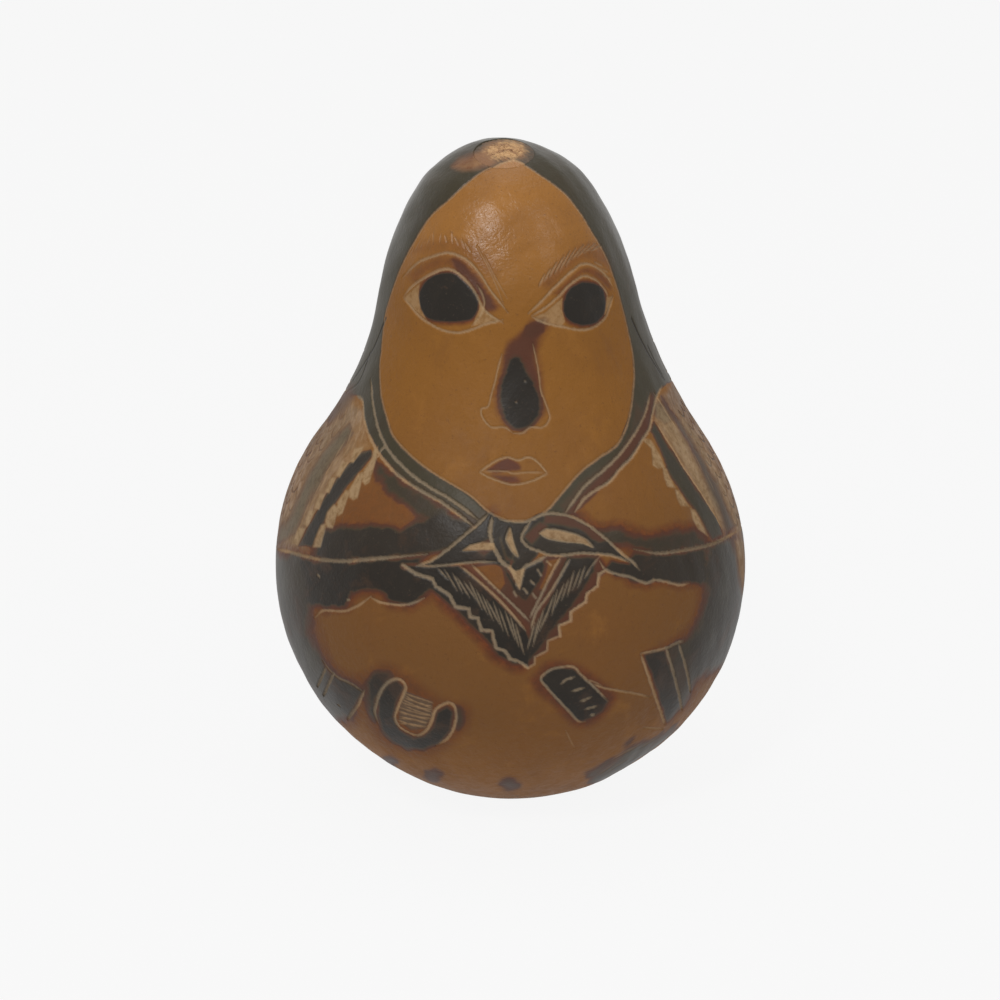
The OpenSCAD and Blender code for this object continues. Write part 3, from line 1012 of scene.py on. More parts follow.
def shawl_right(skin):
    stripe = [
        (652, 430), (662, 452), (671, 472), (681, 489), (692, 505), (702, 521), (712, 540), (722, 534),
        (719, 526), (708, 505), (696, 487), (686, 472), (677, 458), (666, 441), (655, 422),
    ]
    outer_stripe = [
        (661, 396), (671, 410), (682, 425), (693, 439), (707, 463), (718, 484), (728, 508), (736, 526),
        (727, 534), (719, 512), (709, 490), (700, 466), (689, 442), (679, 426), (669, 413),
    ]
    dark_top = [(655, 404), (661, 402), (672, 420), (666, 424), (657, 416)]
    pale_left = [
        [(644, 440), (648, 438), (652, 440), (662, 456), (666, 466), (660, 468), (654, 465), (653, 448)],
        [(664, 466), (668, 468), (677, 487), (669, 486), (666, 477)],
        [(677, 489), (681, 490), (690, 506), (682, 505), (679, 498)],
        [(692, 508), (696, 510), (703, 524), (708, 536), (699, 529), (694, 519)],
    ]
    right_line = [
        (658, 423), (667, 438), (677, 454), (684, 466), (693, 479), (702, 493), (712, 510), (722, 528),
    ]
    upper_line = [(654, 393), (661, 403), (668, 415), (678, 430)]
    tan_place = [
        (656, 398), (670, 416), (688, 446), (704, 474), (718, 504), (726, 530), (716, 516), (700, 488),
        (684, 462), (668, 436), (657, 420),
    ]
    outer_place = [
        (676, 408), (702, 438), (724, 478), (740, 520), (742, 538), (734, 524), (718, 484), (700, 452),
        (682, 425),
    ]
    skin.scratch_off(tan_place, 0.48, soft=3.0, keep=1.0)
    skin.scratch_off(outer_place, 0.34, soft=4.0, keep=1.0)
    skin.burn(outer_stripe, 0.58, soft=4.0, ragged=1.0)
    skin.burn(dark_top, 0.6, soft=3.0)
    skin.burn(stripe, 0.86, soft=2.4, ragged=0.8)
    for tooth in pale_left:
        skin.scratch_off(tooth, 0.6, soft=1.2)
    skin.lines_drawn(
        (right_line, 0.46, 0.05, 1.0), (upper_line, 0.40, 0.15, 0.85),
    )
    streaks(skin, [
        [(664, 424), (674, 440)], [(676, 434), (686, 452)], [(683, 448), (694, 468)],
        [(690, 462), (701, 482)], [(700, 480), (712, 504)], [(709, 496), (719, 518)],
        [(662, 404), (668, 414)], [(672, 422), (682, 438)], [(694, 452), (703, 470)],
        [(706, 470), (716, 492)],
    ], 0.32, 0.5)


def low_marks(skin):
    """Smudges and a rough burnt place under the hands."""
    smudges = [(389, 762, 8), (434, 775, 8), (510, 786, 10)]
    for x, y, size in smudges:
        corner = 0.6 * size
        blot = [(x - size, y), (x, y - corner), (x + size, y), (x, y + corner)]
        skin.redden(blot, 0.7, soft=7)
        skin.burn(blot, 0.62, soft=6.0, ragged=1.5, smooth=True)
    rough = [
        (592, 776), (610, 763), (632, 751), (656, 739), (674, 729), (672, 740), (654, 756), (628, 772),
        (600, 786),
    ]
    skin.redden(rough, 0.12, soft=11, ragged=3)
    skin.burn(rough, 0.95, soft=11.0, ragged=3.5)
    streaks(skin, [
        [(598, 776), (616, 764)], [(606, 774), (628, 760)], [(618, 770), (642, 755)],
        [(632, 762), (655, 748)], [(614, 760), (634, 750)], [(640, 750), (660, 738)],
        [(624, 754), (640, 746)],
    ], 0.30, 0.65)
    specks = [[(316, 575), (318, 577)], [(338, 705), (340, 706)], [(347, 600), (349, 600)]]
    skin.each_drawn(specks, 0.34)


# The back and sides, which the photograph doesn't show, go on in the same manner.
# Lists of pairs are bearings in degrees round the gourd (90 the viewer's right, 180 the back) and heights.

HEM = [
    (62, 64.0), (90, 63.3), (112, 59.5), (136, 53.5), (158, 47.6), (180, 44.0), (202, 47.6), (224, 53.0),
    (248, 58.5), (270, 61.6), (298, 62.5),
]
BELLY_LINE_BACK = [
    (82, 41.4), (98, 40.1), (112, 39.2), (146, 38.0), (180, 37.8), (214, 37.7), (248, 37.6), (276, 37.8),
]
BAND_FOOT = [
    (78, 27.0), (96, 26.0), (116, 22.5), (146, 19.5), (180, 18.0), (214, 18.0), (246, 18.0), (282, 18.5),
    (298, 19.0),
]
STRIPES = [104, 130, 156, 204, 230, 256]


def on_line(line, bearing):
    points = np.asarray(line, float)
    return np.interp(bearing, points[:, 0], points[:, 1])


def lifted(line, by):
    return [(bearing, z + by) for bearing, z in line]


def back_of_hood(skin):
    """Headscarf behind, with a zigzag hem and a few hanging folds."""
    above_head = [(298, 120), (62, 120)]
    skin.burn(HEM + above_head, HOOD_BURN, soft=0.25, ragged=0.12, at_back=True)
    hem_foot = 1.3
    hem_head = 6.2
    for rise, width in ((0, 0.62), (hem_foot, 0.42), (hem_head, 0.42)):
        skin.cut_round(flowing(lifted(HEM[1:-1], rise)), width, ends=0.02)
    bearings = np.arange(94, 267, 4.3)
    low_corners = bearings[1::2]
    zigzag = [(b, on_line(HEM, b) + (2.4 if b in low_corners else 5.1)) for b in bearings]
    skin.cut_round(straight(zigzag, 1.5), 0.40)
    for bearing in low_corners:
        foot = on_line(HEM, bearing)
        skin.cut_round([(bearing, foot + 3.9), (bearing, foot + 5.4)], 0.32, ends=0.3)
    for bearing in (91.5, 268.5):
        foot = on_line(HEM, bearing)
        skin.cut_round([(bearing, foot + hem_foot), (bearing, foot + hem_head)], 0.42)
    folds = [
        [(112, 92), (116, 82), (124, 72), (134, 64)],
        [(140, 93), (143, 84), (150, 74), (156, 64), (160, 58)],
        [(180, 91), (181, 80), (179, 68), (180, 56)],
        [(220, 93), (217, 84), (210, 74), (204, 64), (200, 58)],
        [(248, 92), (244, 82), (236, 72), (226, 64)],
    ]
    for fold in folds:
        skin.cut_round(flowing(fold), 0.36, ends=0.3, strength=0.8)


def back_of_shawl(skin):
    """Burnt stripes with a row of pale teeth down each side, and the line cut round the belly."""
    points = 9
    for bearing in STRIPES:
        lean = 6 if bearing < 180 else -6
        top = on_line(HEM, bearing) - 0.4
        foot = on_line(BELLY_LINE_BACK, bearing) + 0.6
        heights = np.linspace(top, foot, points)
        middle = bearing - lean * (heights - foot) / (top - foot)
        half = np.linspace(1.9, 3.0, points)
        left = list(zip(middle - half, heights))
        right = list(zip(middle + half, heights))
        skin.burn(left + right[::-1], 0.94, soft=0.2, ragged=0.12, at_back=True)
        skin.cut_round(left, 0.40, strength=0.9)
        skin.cut_round(right, 0.36, strength=0.85)
        drop = 1.5
        for z in np.arange(foot + 1.2, top - 1, drop * 1.15):
            at = np.interp(z, heights[::-1], middle[::-1])
            half_there = np.interp(z, heights[::-1], half[::-1])
            for side in (-1, 1):
                edge = at + side * half_there
                point = edge + side * 3.0
                tooth = [(edge, z + drop * 0.45), (point, z - drop * 0.3), (edge, z - drop * 0.45)]
                skin.scratch_off(tooth, 0.9, soft=0.12, at_back=True)
    skin.cut_round(flowing(BELLY_LINE_BACK), 0.62, deep=1.4)


def back_band(skin):
    """Burnt band round the back, carved with diamonds, short cuts and a stepped lower edge."""
    left_end = [(292, 38.0)]
    outline = BELLY_LINE_BACK + left_end + BAND_FOOT[::-1]
    skin.burn(outline, 0.9, soft=0.6, ragged=0.3, at_back=True)
    for first, last in ((101, 97), (259, 263)):
        for bearing in (first, last):
            foot = on_line(BAND_FOOT, bearing) + 0.4
            head = on_line(BELLY_LINE_BACK, bearing) - 0.4
            skin.cut_round(straight([(bearing, head), (bearing, foot)], BACK_SPACING), 0.42)
        for z in np.arange(20.5, 37, 1.5):
            if z > on_line(BAND_FOOT, first) + 0.8:
                skin.cut_round([(first, z), (last, z + 1.0)], 0.28, ends=0.2, strength=0.8)
    for drop in (2.6, 10.4):
        skin.cut_round(flowing(lifted(BELLY_LINE_BACK[1:-1], -drop)), 0.42, ends=0.03)
    spread = 6.0
    for bearing in np.arange(118, 244, 2 * spread):
        middle = on_line(BELLY_LINE_BACK, bearing) - 6.5
        for share, width in ((1.0, 0.44), (0.45, 0.34)):
            across = spread * share
            tall = 3.3 * share
            diamond = [
                (bearing - across, middle), (bearing, middle + tall), (bearing + across, middle),
                (bearing, middle - tall), (bearing - across, middle),
            ]
            skin.cut_round(straight(diamond, BACK_SPACING), width)
    for bearing in np.arange(114, 248, 3.2):
        top = on_line(BELLY_LINE_BACK, bearing)
        skin.cut_round([(bearing, top - 0.8), (bearing + 1.2, top - 2.2)], 0.3, ends=0.3)
    steps = []
    for i, bearing in enumerate(np.arange(104, 256, 4.0)):
        foot = on_line(BAND_FOOT, bearing) + (0.9 if i % 2 else 3.1)
        steps += [(bearing, foot), (bearing + 2.0, foot)]
    skin.cut_round(straight(steps, BACK_SPACING), 0.45)
    for bearing in np.arange(118, 246, 2.6):
        top = on_line(BELLY_LINE_BACK, bearing) - 11.2
        skin.cut_round([(bearing, top), (bearing + 0.8, top - 2.2)], 0.28, ends=0.3, strength=0.85)


def scaly_places(skin):
    """Where the outside of the shawl is scratched all over like scales."""
    row_rise = 2.3
    scale_width = 5.4
    half = scale_width / 2
    for row, z in enumerate(np.arange(40.6, 61.0, row_rise)):
        for bearing in np.arange(76 + half * (row % 2), 286, scale_width):
            beside_stripe = min(abs(bearing - stripe) for stripe in STRIPES) <= 6.0
            lowest = 40 if 94 < bearing < 266 else 42
            if beside_stripe or z <= lowest or z + 1.6 >= on_line(HEM, bearing):
                continue
            arch = [
                (bearing - half, z + 1.1), (bearing - 0.6 * half, z + 0.2), (bearing, z - 0.15),
                (bearing + 0.6 * half, z + 0.2), (bearing + half, z + 1.1),
            ]
            level = 0.34 + 0.2 * ((row * 7 + int(bearing)) % 3)
            skin.score(round_the_gourd(arch), 0.20, level * (0.55 if bearing > 262 else 0.9))
    degrees = np.degrees(skin.a)
    top = np.interp(degrees % 360, *np.array(HEM).T)
    below_hood = step(-skin.z, -top, 1.0 - top)
    above_line = step(skin.z, 37.5, 39.5)
    unburnt = 1 - np.clip(skin.char * 2, 0, 1)
    skin.scales = step(np.abs(degrees), 50, 72) * below_hood * above_line * unburnt


# The stem's place on the crown

def sanded_crown(skin):
    """Pale rubbed skin beside the stem, and the pit that the stem's stump sits in."""
    lobe = [
        (452, 166), (460, 159), (470, 155), (484, 150), (490, 158), (494, 164), (484, 167), (470, 170),
        (458, 170),
    ]
    flush = [(452, 168), (456, 157), (468, 150), (476, 158), (470, 167)]
    picked, cover = skin.region(lobe, 4.0, 0.8, smooth=True)
    skin.sanded[picked] = 0.28 * cover
    skin.char[picked] *= 1 - 0.72 * cover
    skin.redden(flush, 0.5, soft=4)
    stem_axis = np.array([0, -math.sin(STEM_TILT), math.cos(STEM_TILT)])
    from_crown = skin.at - np.array([LEAN, 0, CROWN_Z])
    up = from_crown @ stem_axis
    away = np.linalg.norm(from_crown - up[:, None] * stem_axis, axis=1)
    on_top = up > 8
    skin.depth += STEM_PIT * on_top * step(-away, -STEM_R + 0.14, -STEM_R + 0.34)


# Making the meshes

def grid_faces(rows, columns, first):
    """Quads of a closed ring grid, wound to face outwards."""
    row, column = np.mgrid[0:rows - 1, 0:columns]
    after = (column + 1) % columns
    here = first + row * columns
    below = here + columns
    quads = np.stack([here + column, below + column, below + after, here + after], -1)
    return quads.reshape(-1, 4), column.reshape(-1), row.reshape(-1)


def cap_faces(ring_first, columns, pole, upward):
    """Triangles from a ring to its pole."""
    column = np.arange(columns)
    a = ring_first + column
    b = ring_first + (column + 1) % columns
    middle = np.full(columns, pole)
    return np.stack([middle, a, b] if upward else [middle, b, a], -1)


def face_uvs(*corners):
    """UVs of many faces, from the (u, v) of each of their corners."""
    return np.stack([np.stack(np.broadcast_arrays(u, v), -1) for u, v in corners], 1)


def closed_layer(grid, columns, poles, v_span, first, inward):
    """Points of a grid of rings with its top and bottom poles, then its faces and their UVs."""
    rows = len(grid) // columns
    top_pole = first + len(grid)
    low_pole = top_pole + 1
    quads, column, row = grid_faces(rows, columns, first)
    top_faces = cap_faces(first, columns, top_pole, True)
    low_faces = cap_faces(top_pole - columns, columns, low_pole, False)
    v_low, v_high = v_span
    v = v_high - (v_high - v_low) * (np.arange(rows) + 1) / (rows + 1)
    u0 = column / columns
    u1 = (column + 1) / columns
    c0 = np.arange(columns) / columns
    c1 = (np.arange(columns) + 1) / columns
    middle = (c0 + c1) / 2
    faces = [quads, top_faces, low_faces]
    uvs = [
        face_uvs((u0, v[row]), (u0, v[row + 1]), (u1, v[row + 1]), (u1, v[row])),
        face_uvs((middle, v_high), (c0, v[0]), (c1, v[0])),
        face_uvs((middle, v_low), (c1, v[-1]), (c0, v[-1])),
    ]
    if inward:
        faces = [corners[:, ::-1] for corners in faces]
        uvs = [corners[:, ::-1] for corners in uvs]
    return np.vstack([grid, poles]), faces, uvs


def ring_mesh(name, layers):
    """An object of closed layers, each of a grid, its columns, its two poles, its V range, and inward."""
    points = []
    faces = []
    uvs = []
    for grid, columns, poles, v_span, inward in layers:
        first = sum(len(layer) for layer in points)
        layer_points, layer_faces, layer_uvs = closed_layer(grid, columns, poles, v_span, first, inward)
        points.append(layer_points)
        faces += layer_faces
        uvs += [corners.reshape(-1, 2) for corners in layer_uvs]
    points = np.vstack(points) * MM
    corners = np.concatenate([some.reshape(-1) for some in faces])
    sizes = np.concatenate([np.full(len(some), some.shape[1]) for some in faces])
    mesh = bpy.data.meshes.new(name)
    mesh.vertices.add(len(points))
    mesh.vertices.foreach_set("co", points.astype(np.float32).reshape(-1))
    mesh.loops.add(len(corners))
    mesh.loops.foreach_set("vertex_index", corners.astype(np.int32))
    mesh.polygons.add(len(sizes))
    starts = np.concatenate([[0], np.cumsum(sizes)[:-1]])
    mesh.polygons.foreach_set("loop_start", starts.astype(np.int32))
    mesh.update(calc_edges=True)
    layer = mesh.uv_layers.new(name="OFBake")
    layer.data.foreach_set("uv", np.vstack(uvs).astype(np.float32).reshape(-1))
    mesh.polygons.foreach_set("use_smooth", np.ones(len(sizes), bool))
    mesh.validate()
    piece = bpy.data.objects.new(name, mesh)
    bpy.context.collection.objects.link(piece)
    return piece


def give_field(mesh, name, values):
    field = mesh.attributes.new(name, "FLOAT", "POINT")
    padded = np.zeros(len(mesh.vertices))
    padded[:len(values)] = values
    field.data.foreach_set("value", padded.astype(np.float32))


def undulate(skin):
    """A grown fruit's slight unevenness, in millimetres."""
    broad = ripple(skin.at, 46, 11)
    small = ripple(skin.at, 11, 12)
    calm_foot = step(skin.z, 0.3, 6)
    calm_belly = 1 - 0.8 * step(-np.abs(skin.z - BELLY_Z), -7, -1)
    return (0.16 * broad + 0.045 * small - 0.10) * calm_foot * calm_belly


def build_skin():
    skin = Skin()
    drawing = [
        back_of_hood, back_of_shawl, back_band, hood, left_eye, right_eye, nose, lips, shawl_left,
        shawl_right, belly_bands, sleeves, collar, knot, left_hand, right_hand, low_marks, sanded_crown,
        scaly_places,
    ]
    for carve in drawing:
        carve(skin)
    side = np.degrees(np.abs(skin.a))
    # Cuts are shallower where the outline of the figure is seen, as a worn gourd's are.
    skin.depth *= 1 - 0.7 * step(side, 60, 74) * (1 - step(side, 106, 120))
    surface = skin.at + skin.out * (undulate(skin) - skin.depth)[:, None]
    poles = [surface[:skin.columns].mean(axis=0), (0, 0, SCAR_DEPTH)]
    inner_spacing = 2.4
    inner_columns = 96
    inner_bearings = np.linspace(-math.pi, math.pi, inner_columns, endpoint=False)
    inner_wall = on_gourd(*spun(skin_profile(WALL, inner_spacing, inner_spacing), inner_bearings))
    inner_poles = [(LEAN, 0, CROWN_TOP - WALL), (0, 0, BELLY_Z - BELLY_R + WALL)]
    piece = ring_mesh("gourd_skin", [
        (surface, skin.columns, poles, (0.06, 1.0), False),
        (inner_wall, inner_columns, inner_poles, (0.0, 0.05), True),
    ])
    for name in FIELDS:
        give_field(piece.data, name, np.clip(getattr(skin, name), 0, 1))
    return piece


def build_stump():
    """Corky end of the stem, sanded off just below the skin."""
    rings = 46
    columns = 160
    sunk = 0.03
    bevel = 0.03
    radius = STEM_R - 0.12
    reach = 3.0
    top_r = CROWN_R - sunk
    side_drops = np.linspace(0.5, reach, 4)
    share = (np.arange(rings) + 1) / rings
    across = np.concatenate([radius * share, np.full(len(side_drops), radius)])
    rise = np.sqrt(top_r ** 2 - across ** 2)
    rise[rings - 1] -= bevel
    rise[rings:] = rise[rings - 1] - side_drops
    bearings = np.linspace(-math.pi, math.pi, columns, endpoint=False)
    r, up, bearing = spun(np.stack([across, rise], 1), bearings)
    local = turned(r, up, bearing)
    flat = local[:, :2].copy()
    grain = ripple(flat, 1.6, 21)
    pits = ripple(flat, 0.9, 22)
    lower = 0.05 * grain - 0.34 * step(pits, 0.35, 1.0) * step(-r, -3.1, -2.0)
    lower -= 0.30 * step(-r, -1.0, 0) * (0.6 + 0.4 * grain)
    local[:, 2] += np.where(r < radius - 0.05, lower, 0)
    cos = math.cos(STEM_TILT)
    sin = math.sin(STEM_TILT)
    y = local[:, 1] * cos - local[:, 2] * sin
    z = local[:, 1] * sin + local[:, 2] * cos
    placed = np.stack([local[:, 0] + LEAN, y, z + CROWN_Z], 1)
    low_pole = (LEAN, -(top_r - reach) * sin, CROWN_Z + (top_r - reach - 0.6) * cos)
    poles = [placed[:columns].mean(axis=0), low_pole]
    piece = ring_mesh("stem_stump_cork", [(placed, columns, poles, (0.0, 1.0), False)])
    pale_place = [
        (484, 150), (489, 144), (500, 141), (515, 141), (523, 145), (526, 151), (524, 156), (514, 160),
        (499, 160), (488, 157),
    ]
    golden_place = [(513, 160), (500, 164), (488, 171), (476, 180), (550, 180), (533, 170), (522, 163)]
    left_lobe = [
        (440, 160), (462, 156), (476, 153), (486, 149), (493, 158), (497, 163), (488, 168), (470, 172),
        (440, 172),
    ]
    seen = to_pixels(placed)
    golden = coverage(np.array(golden_place, float), seen, 1.4)
    fields = {
        "pit": np.clip(-lower * 2.6, 0, 1),
        "pale": coverage(np.array(pale_place, float), seen, 5.0, 1.6 * grain),
        "golden": golden,
        "line": 4 * golden * (1 - golden),
        "left": coverage(np.array(left_lobe, float), seen, 4.0),
    }
    for name, values in fields.items():
        give_field(piece.data, name, values)
    return piece


# Finishes

def rgb(red, green, blue):
    """A colour that is written as a screen shows it, 0 to 255."""
    shown = np.array([red, green, blue]) / 255
    linear = np.where(shown > 0.04045, ((shown + 0.055) / 1.055) ** 2.4, shown / 12.92)
    return (*[float(c) for c in linear], 1.0)


def adds_maths(operation, swapped=False):
    """An operator between numbers that adds a Math node."""
    def combine(self, other):
        first, second = (other, self) if swapped else (self, other)
        node = self.finish.node("ShaderNodeMath", {"operation": operation}, {0: first, 1: second})
        return Number(self.finish, node.outputs[0])
    return combine


class Number:
    """A number that varies over a surface. Arithmetic with it adds Math nodes."""

    def __init__(self, finish, socket):
        self.finish = finish
        self.socket = socket

    __add__ = adds_maths("ADD")
    __radd__ = adds_maths("ADD", swapped=True)
    __sub__ = adds_maths("SUBTRACT")
    __rsub__ = adds_maths("SUBTRACT", swapped=True)
    __mul__ = adds_maths("MULTIPLY")
    __rmul__ = adds_maths("MULTIPLY", swapped=True)
    least = adds_maths("MINIMUM")
    most = adds_maths("MAXIMUM")

    def between(self, low, high):
        """0 below low, 1 above high, smooth between."""
        node = self.finish.node(
            "ShaderNodeMapRange", {"interpolation_type": "SMOOTHSTEP"},
            {"Value": self, "From Min": low, "From Max": high, "To Min": 0.0, "To Max": 1.0})
        return Number(self.finish, node.outputs["Result"])


class Finish:
    """Nodes of a new material, or of the world."""

    def __init__(self, owner):
        owner.use_nodes = True
        self.owner = owner
        self.tree = owner.node_tree
        self.tree.nodes.clear()

    def node(self, kind, settings=None, sockets=None):
        node = self.tree.nodes.new(kind)
        for setting, value in (settings or {}).items():
            if setting == "stops":
                self.set_stops(node.color_ramp, value)
            else:
                setattr(node, setting, value)
        for key, value in (sockets or {}).items():
            socket = self.find(node, key)
            if isinstance(value, Number):
                value = value.socket
            if isinstance(value, bpy.types.NodeSocket):
                self.tree.links.new(value, socket)
            else:
                socket.default_value = value
        return node

    def find(self, node, key):
        if isinstance(key, int):
            return node.inputs[key]
        return next(s for s in node.inputs if key in (s.identifier, s.name))

    def set_stops(self, ramp, stops):
        while len(ramp.elements) < len(stops):
            ramp.elements.new(0.5)
        for element, (at, colour) in zip(ramp.elements, stops):
            element.position = at
            element.color = colour

    @functools.cached_property
    def place(self):
        return self.node("ShaderNodeTexCoord").outputs["Object"]

    def field(self, name):
        return Number(self, self.node("ShaderNodeAttribute", {"attribute_name": name}).outputs["Fac"])

    def noise(self, scale, detail, roughness, stretch=None, twist=0.0):
        place = self.place
        if stretch:
            place = self.node("ShaderNodeMapping", None, {"Vector": place, "Scale": stretch}).outputs[0]
        node = self.node("ShaderNodeTexNoise", None, {
            "Vector": place, "Scale": scale, "Detail": detail, "Roughness": roughness, "Distortion": twist})
        return Number(self, node.outputs["Fac"])

    def cells(self, scale, feature="F1"):
        node = self.node("ShaderNodeTexVoronoi", {"feature": feature}, {"Vector": self.place, "Scale": scale})
        return Number(self, node.outputs["Distance"])

    def height(self):
        node = self.node("ShaderNodeSeparateXYZ", None, {0: self.place})
        return Number(self, node.outputs["Z"])

    def mix(self, share, first, second):
        node = self.node("ShaderNodeMix", {"data_type": "RGBA"}, {
            "Factor_Float": share, "A_Color": first, "B_Color": second})
        return node.outputs[2]

    def coated(self, colour, *coats):
        """The colour under coats of (share, colour), laid on one after another."""
        for share, coat in coats:
            colour = self.mix(share, colour, coat)
        return colour

    def ramp(self, value, stops):
        node = self.node("ShaderNodeValToRGB", {"stops": stops}, {"Fac": value})
        return node.outputs["Color"]

    def bump(self, height, distance):
        node = self.node("ShaderNodeBump", None, {"Height": height, "Distance": distance, "Strength": 1.0})
        return node.outputs["Normal"]

    def shine(self, colour, roughness, normal, specular=0.5):
        shader = self.node("ShaderNodeBsdfPrincipled", None, {
            "Base Color": colour, "Roughness": roughness, "Normal": normal, "Specular IOR Level": specular})
        self.node("ShaderNodeOutputMaterial", None, {"Surface": shader.outputs[0]})
        return self.owner

    def seen(self):
        """1 for what the camera sees, straight or in gloss or glass, and 0 for the light that falls."""
        path = self.node("ShaderNodeLightPath")
        kinds = ("Is Camera Ray", "Is Glossy Ray", "Is Transmission Ray")
        camera, glossy, clear = [Number(self, path.outputs[kind]) for kind in kinds]
        return camera.most(glossy).most(clear)


def material(name):
    return Finish(bpy.data.materials.new(name))


def skin_finish():
    f = material("engraved_gourd_skin")
    char, scorch, cut, scrape, sanded, scales = [f.field(name) for name in FIELDS]
    blotch = f.noise(38, 4, 0.6, twist=0.6)
    mottle = f.noise(150, 5, 0.65, twist=0.4)
    grit = f.noise(900, 3, 0.7)
    speckle = f.noise(2100, 2, 0.6)
    streak = f.noise(260, 4, 0.6, stretch=(1.0, 1.0, 0.22), twist=0.3)
    fibre = f.noise(700, 3, 0.6, stretch=(1.0, 1.0, 0.3), twist=0.5)
    height = f.height()
    head = height.between(0.040, 0.072)

    plain = f.coated(
        f.mix(head, rgb(99, 64, 26), rgb(118, 76, 24)),
        # Painted light: above 80 mm the crown and forehead are coated a lighter tone, where the lamps light
        # them most.
        (height.between(0.080, 0.093), rgb(141, 95, 42)),
        (1 - height.between(0.006, 0.024), rgb(124, 82, 38)),
        (blotch.between(0.42, 0.68) * 0.45, rgb(102, 64, 26)),
        (mottle.between(0.52, 0.76) * 0.32, rgb(140, 94, 38)),
        (streak.between(0.56, 0.75) * 0.22, rgb(88, 54, 26)),
        (speckle.between(0.63, 0.72) * 0.35, rgb(78, 48, 24)),
        (scales * 0.6, rgb(120, 94, 72)),
        (scales * fibre.between(0.46, 0.66) * 0.6, rgb(154, 130, 108)),
        (scales * (1 - fibre.between(0.30, 0.46)) * 0.5, rgb(84, 66, 52)),
        (scales * blotch.between(0.40, 0.60) * 0.4, rgb(74, 64, 50)),
    )
    red = f.mix(grit.between(0.35, 0.7), rgb(68, 30, 15), rgb(92, 44, 20))
    uneven = char * (0.86 + mottle * 0.28)
    burnt = f.ramp(uneven, [
        (0.0, rgb(86, 50, 28)), (0.35, rgb(71, 43, 27)), (0.6, rgb(60, 45, 30)), (0.8, rgb(50, 44, 29)),
        (0.92, rgb(38, 31, 23)), (1.0, rgb(28, 23, 17)),
    ])
    burnt = f.coated(
        burnt,
        (speckle.between(0.62, 0.76) * 0.16, rgb(92, 78, 62)),
        (grit.between(0.60, 0.78) * 0.30, rgb(76, 54, 40)),
        (scorch * (1 - char.between(0.66, 0.95)) * 0.65, rgb(70, 34, 20)),
        ((1 - head) * mottle.between(0.50, 0.68) * 0.40, rgb(70, 49, 33)),
    )
    bare = f.mix(char.between(0.1, 0.7), rgb(148, 121, 90), rgb(123, 108, 88))
    bare = f.mix(grit.between(0.45, 0.75) * 0.45, bare, rgb(118, 96, 70))
    chalky = f.mix(grit.between(0.40, 0.70), rgb(153, 130, 98), rgb(122, 98, 68))
    pale = f.mix(grit.between(0.40, 0.72), rgb(176, 136, 94), rgb(140, 98, 62))
    toned = f.coated(
        plain,
        ((scorch * (0.55 + mottle * 0.9)).least(1.0), red),
        (char.between(0.02, 0.32), burnt),
        ((cut * (0.70 + grit * 0.5)).least(0.96), bare),
        ((scrape * 1.05).least(0.95), chalky),
        (sanded * (1 - scorch * 0.6), pale),
    )

    worn = 1 - height.between(0.078, 0.088)
    bare_skin = 1 - char.between(0.0, 0.4)
    rough = 0.25 + worn * (1 - char * 0.65) * 0.30 + mottle * 0.12 + (grit - 0.5) * bare_skin * 0.35
    rough = (rough + cut * 0.3 + scrape * 0.3 + sanded * 0.4).least(0.9)
    relief = grit * (0.5 + bare_skin * 0.6) + speckle * 0.25 + mottle * 0.9 + fibre * scales * 0.8
    return f.shine(toned, rough, f.bump(relief, 0.00011), specular=0.2)


def stump_finish():
    f = material("sanded_stem_cork")
    grain = f.noise(700, 5, 0.7)
    fine = f.noise(2600, 2, 0.6)
    golden = f.field("golden")
    stained = f.coated(
        rgb(60, 50, 38),
        (f.field("left") * 0.85, rgb(124, 85, 53)),
        (grain.between(0.45, 0.7) * 0.35, rgb(124, 92, 66)),
        # The face's skin where it runs onto the stump, in the crown's lighter tone, whose extra lightness is
        # painted light.
        (golden, rgb(138, 92, 40)),
        (f.field("line") * 0.6, rgb(156, 124, 86)),
    )
    wood = f.mix(grain.between(0.42, 0.60), rgb(174, 136, 93), rgb(122, 85, 52))
    wood = f.mix(f.field("pit").between(0.15, 0.9), wood, rgb(88, 60, 38))
    wood = f.mix(f.field("pale"), stained, wood)
    rough = 0.60 + fine * 0.2 - golden * 0.3
    return f.shine(wood, rough, f.bump(grain + fine * 0.4, 0.00012))


def lining_finish():
    f = material("dry_papery_lining")
    folds = f.noise(70, 5, 0.6, twist=1.2)
    fine = f.noise(800, 3, 0.6)
    veins = f.cells(120, "DISTANCE_TO_EDGE")
    paper = f.mix(folds.between(0.36, 0.66), rgb(222, 208, 176), rgb(186, 164, 124))
    paper = f.mix((1 - veins.between(0.0, 0.06)) * 0.35, paper, rgb(150, 122, 84))
    return f.shine(paper, 0.7 + fine * 0.2, f.bump(folds + fine * 0.3 + veins * 0.4, 0.0003))


def pith_finish():
    f = material("dry_spongy_pith")
    pores = f.cells(900)
    fibres = f.noise(300, 5, 0.7, stretch=(1.0, 1.0, 0.25), twist=0.8)
    pith = f.mix(fibres.between(0.36, 0.66), rgb(214, 194, 152), rgb(170, 142, 98))
    pith = f.mix(pores.between(0.3, 0.8) * 0.5, pith, rgb(140, 110, 72))
    return f.shine(pith, 0.82 + fibres * 0.12, f.bump(pores + fibres * 0.8, 0.0003))


def seed_finish(number):
    f = material(f"matt_seed_coat_{number:02d}")
    mottle = f.noise(420, 4, 0.6, twist=0.5)
    streaks = f.noise(900, 3, 0.6, stretch=(1.0, 0.3, 1.0))
    tint = (number * 37) % 11
    light = rgb(192 - tint, 160 - tint, 112)
    dark = rgb(158 - tint, 124 - tint, 80)
    coat = f.mix(mottle.between(0.35, 0.68), light, dark)
    coat = f.mix(streaks.between(0.58, 0.74) * 0.5, coat, rgb(118, 88, 56))
    return f.shine(coat, 0.55 + mottle * 0.15, f.bump(mottle + streaks * 0.4, 0.00012))


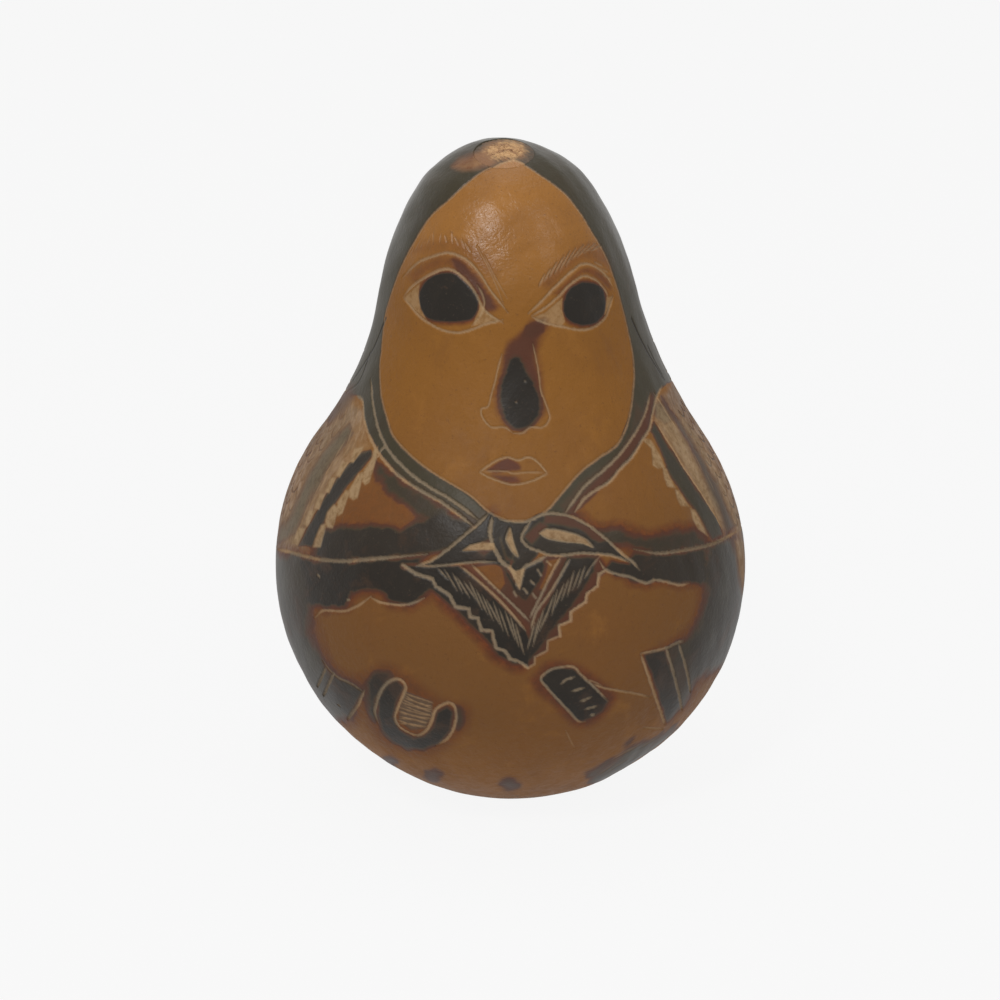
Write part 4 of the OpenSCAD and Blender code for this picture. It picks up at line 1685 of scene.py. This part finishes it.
def finish_node(name, coat):
    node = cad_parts[name]
    if not node.material_slots:
        node.data.materials.append(coat)
    for slot in node.material_slots:
        slot.material = coat


# The gourd

skin = build_skin()
skin.data.materials.append(skin_finish())
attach(skin, "gourd")
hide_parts("gourd_shell")

stump = build_stump()
stump.data.materials.append(stump_finish())
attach(stump, "gourd")
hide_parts("stem_stump")

finish_node("pith_lining", lining_finish())
finish_node("pith_core", pith_finish())
finish_node("stuck_seeds", seed_finish(0))
loose_seeds = sorted(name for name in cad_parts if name.startswith("loose_seed_"))
for number, name in enumerate(loose_seeds, 1):
    finish_node(name, seed_finish(number))


# Floor, light and camera

BACKDROP = rgb(248, 248, 248)
FLOOR_SIDE = 6.0
LAMP_AIM = Vector((0, 0, 0.07))


def link_object(name, data):
    thing = bpy.data.objects.new(name, data)
    bpy.context.collection.objects.link(thing)
    return thing


def pale_floor():
    half = FLOOR_SIDE / 2
    mesh = bpy.data.meshes.new("floor")
    corners = [(-half, -half, 0), (half, -half, 0), (half, half, 0), (-half, half, 0)]
    mesh.from_pydata(corners, [], [(0, 1, 2, 3)])
    f = material("pale_floor")
    matt = f.node("ShaderNodeBsdfDiffuse", None, {"Color": rgb(240, 240, 240)})
    glow = f.node("ShaderNodeEmission", None, {"Color": BACKDROP, "Strength": 1.0})
    share = f.node("ShaderNodeMixShader", None, {0: f.seen() * 0.965, 1: matt.outputs[0], 2: glow.outputs[0]})
    f.node("ShaderNodeOutputMaterial", None, {"Surface": share.outputs[0]})
    mesh.materials.append(f.owner)
    link_object("floor", mesh)


def surroundings():
    world = bpy.data.worlds.new("studio")
    bpy.context.scene.world = world
    f = Finish(world)
    soft = f.node("ShaderNodeBackground", None, {"Color": (1, 1, 1, 1), "Strength": 0.45})
    shown = f.node("ShaderNodeBackground", None, {"Color": BACKDROP, "Strength": 1.0})
    share = f.node("ShaderNodeMixShader", None, {0: f.seen(), 1: soft.outputs[0], 2: shown.outputs[0]})
    f.node("ShaderNodeOutputWorld", None, {"Surface": share.outputs[0]})


def soft_lamp(name, at, size, power):
    light = bpy.data.lights.new(name, "AREA")
    light.shape = "RECTANGLE"
    light.size, light.size_y = size
    light.energy = power
    lamp = link_object(name, light)
    lamp.location = at
    lamp.rotation_euler = (LAMP_AIM - Vector(at)).to_track_quat("-Z", "Y").to_euler()


def photograph_camera():
    camera_data = bpy.data.cameras.new("camera")
    camera_data.sensor_width = SENSOR_MM
    camera_data.lens = SENSOR_MM * CAMERA_FOCUS_PX / IMAGE_SIDE
    camera_data.clip_start = 0.01
    camera_data.clip_end = 20
    camera = link_object("camera", camera_data)
    camera.location = [float(c) * MM for c in CAMERA_AT]
    camera.rotation_euler = (math.pi / 2 - CAMERA_ELEVATION, 0, 0)
    bpy.context.scene.camera = camera


pale_floor()
surroundings()
soft_lamp("window", (-0.24, -0.62, 0.71), (0.17, 0.20), 4.5)
soft_lamp("second_window", (0.50, -0.54, 0.62), (0.24, 0.24), 1.3)
soft_lamp("ceiling", (0.0, 0.15, 1.05), (0.8, 0.6), 3.0)
photograph_camera()
bpy.context.scene.view_settings.view_transform = "Standard"
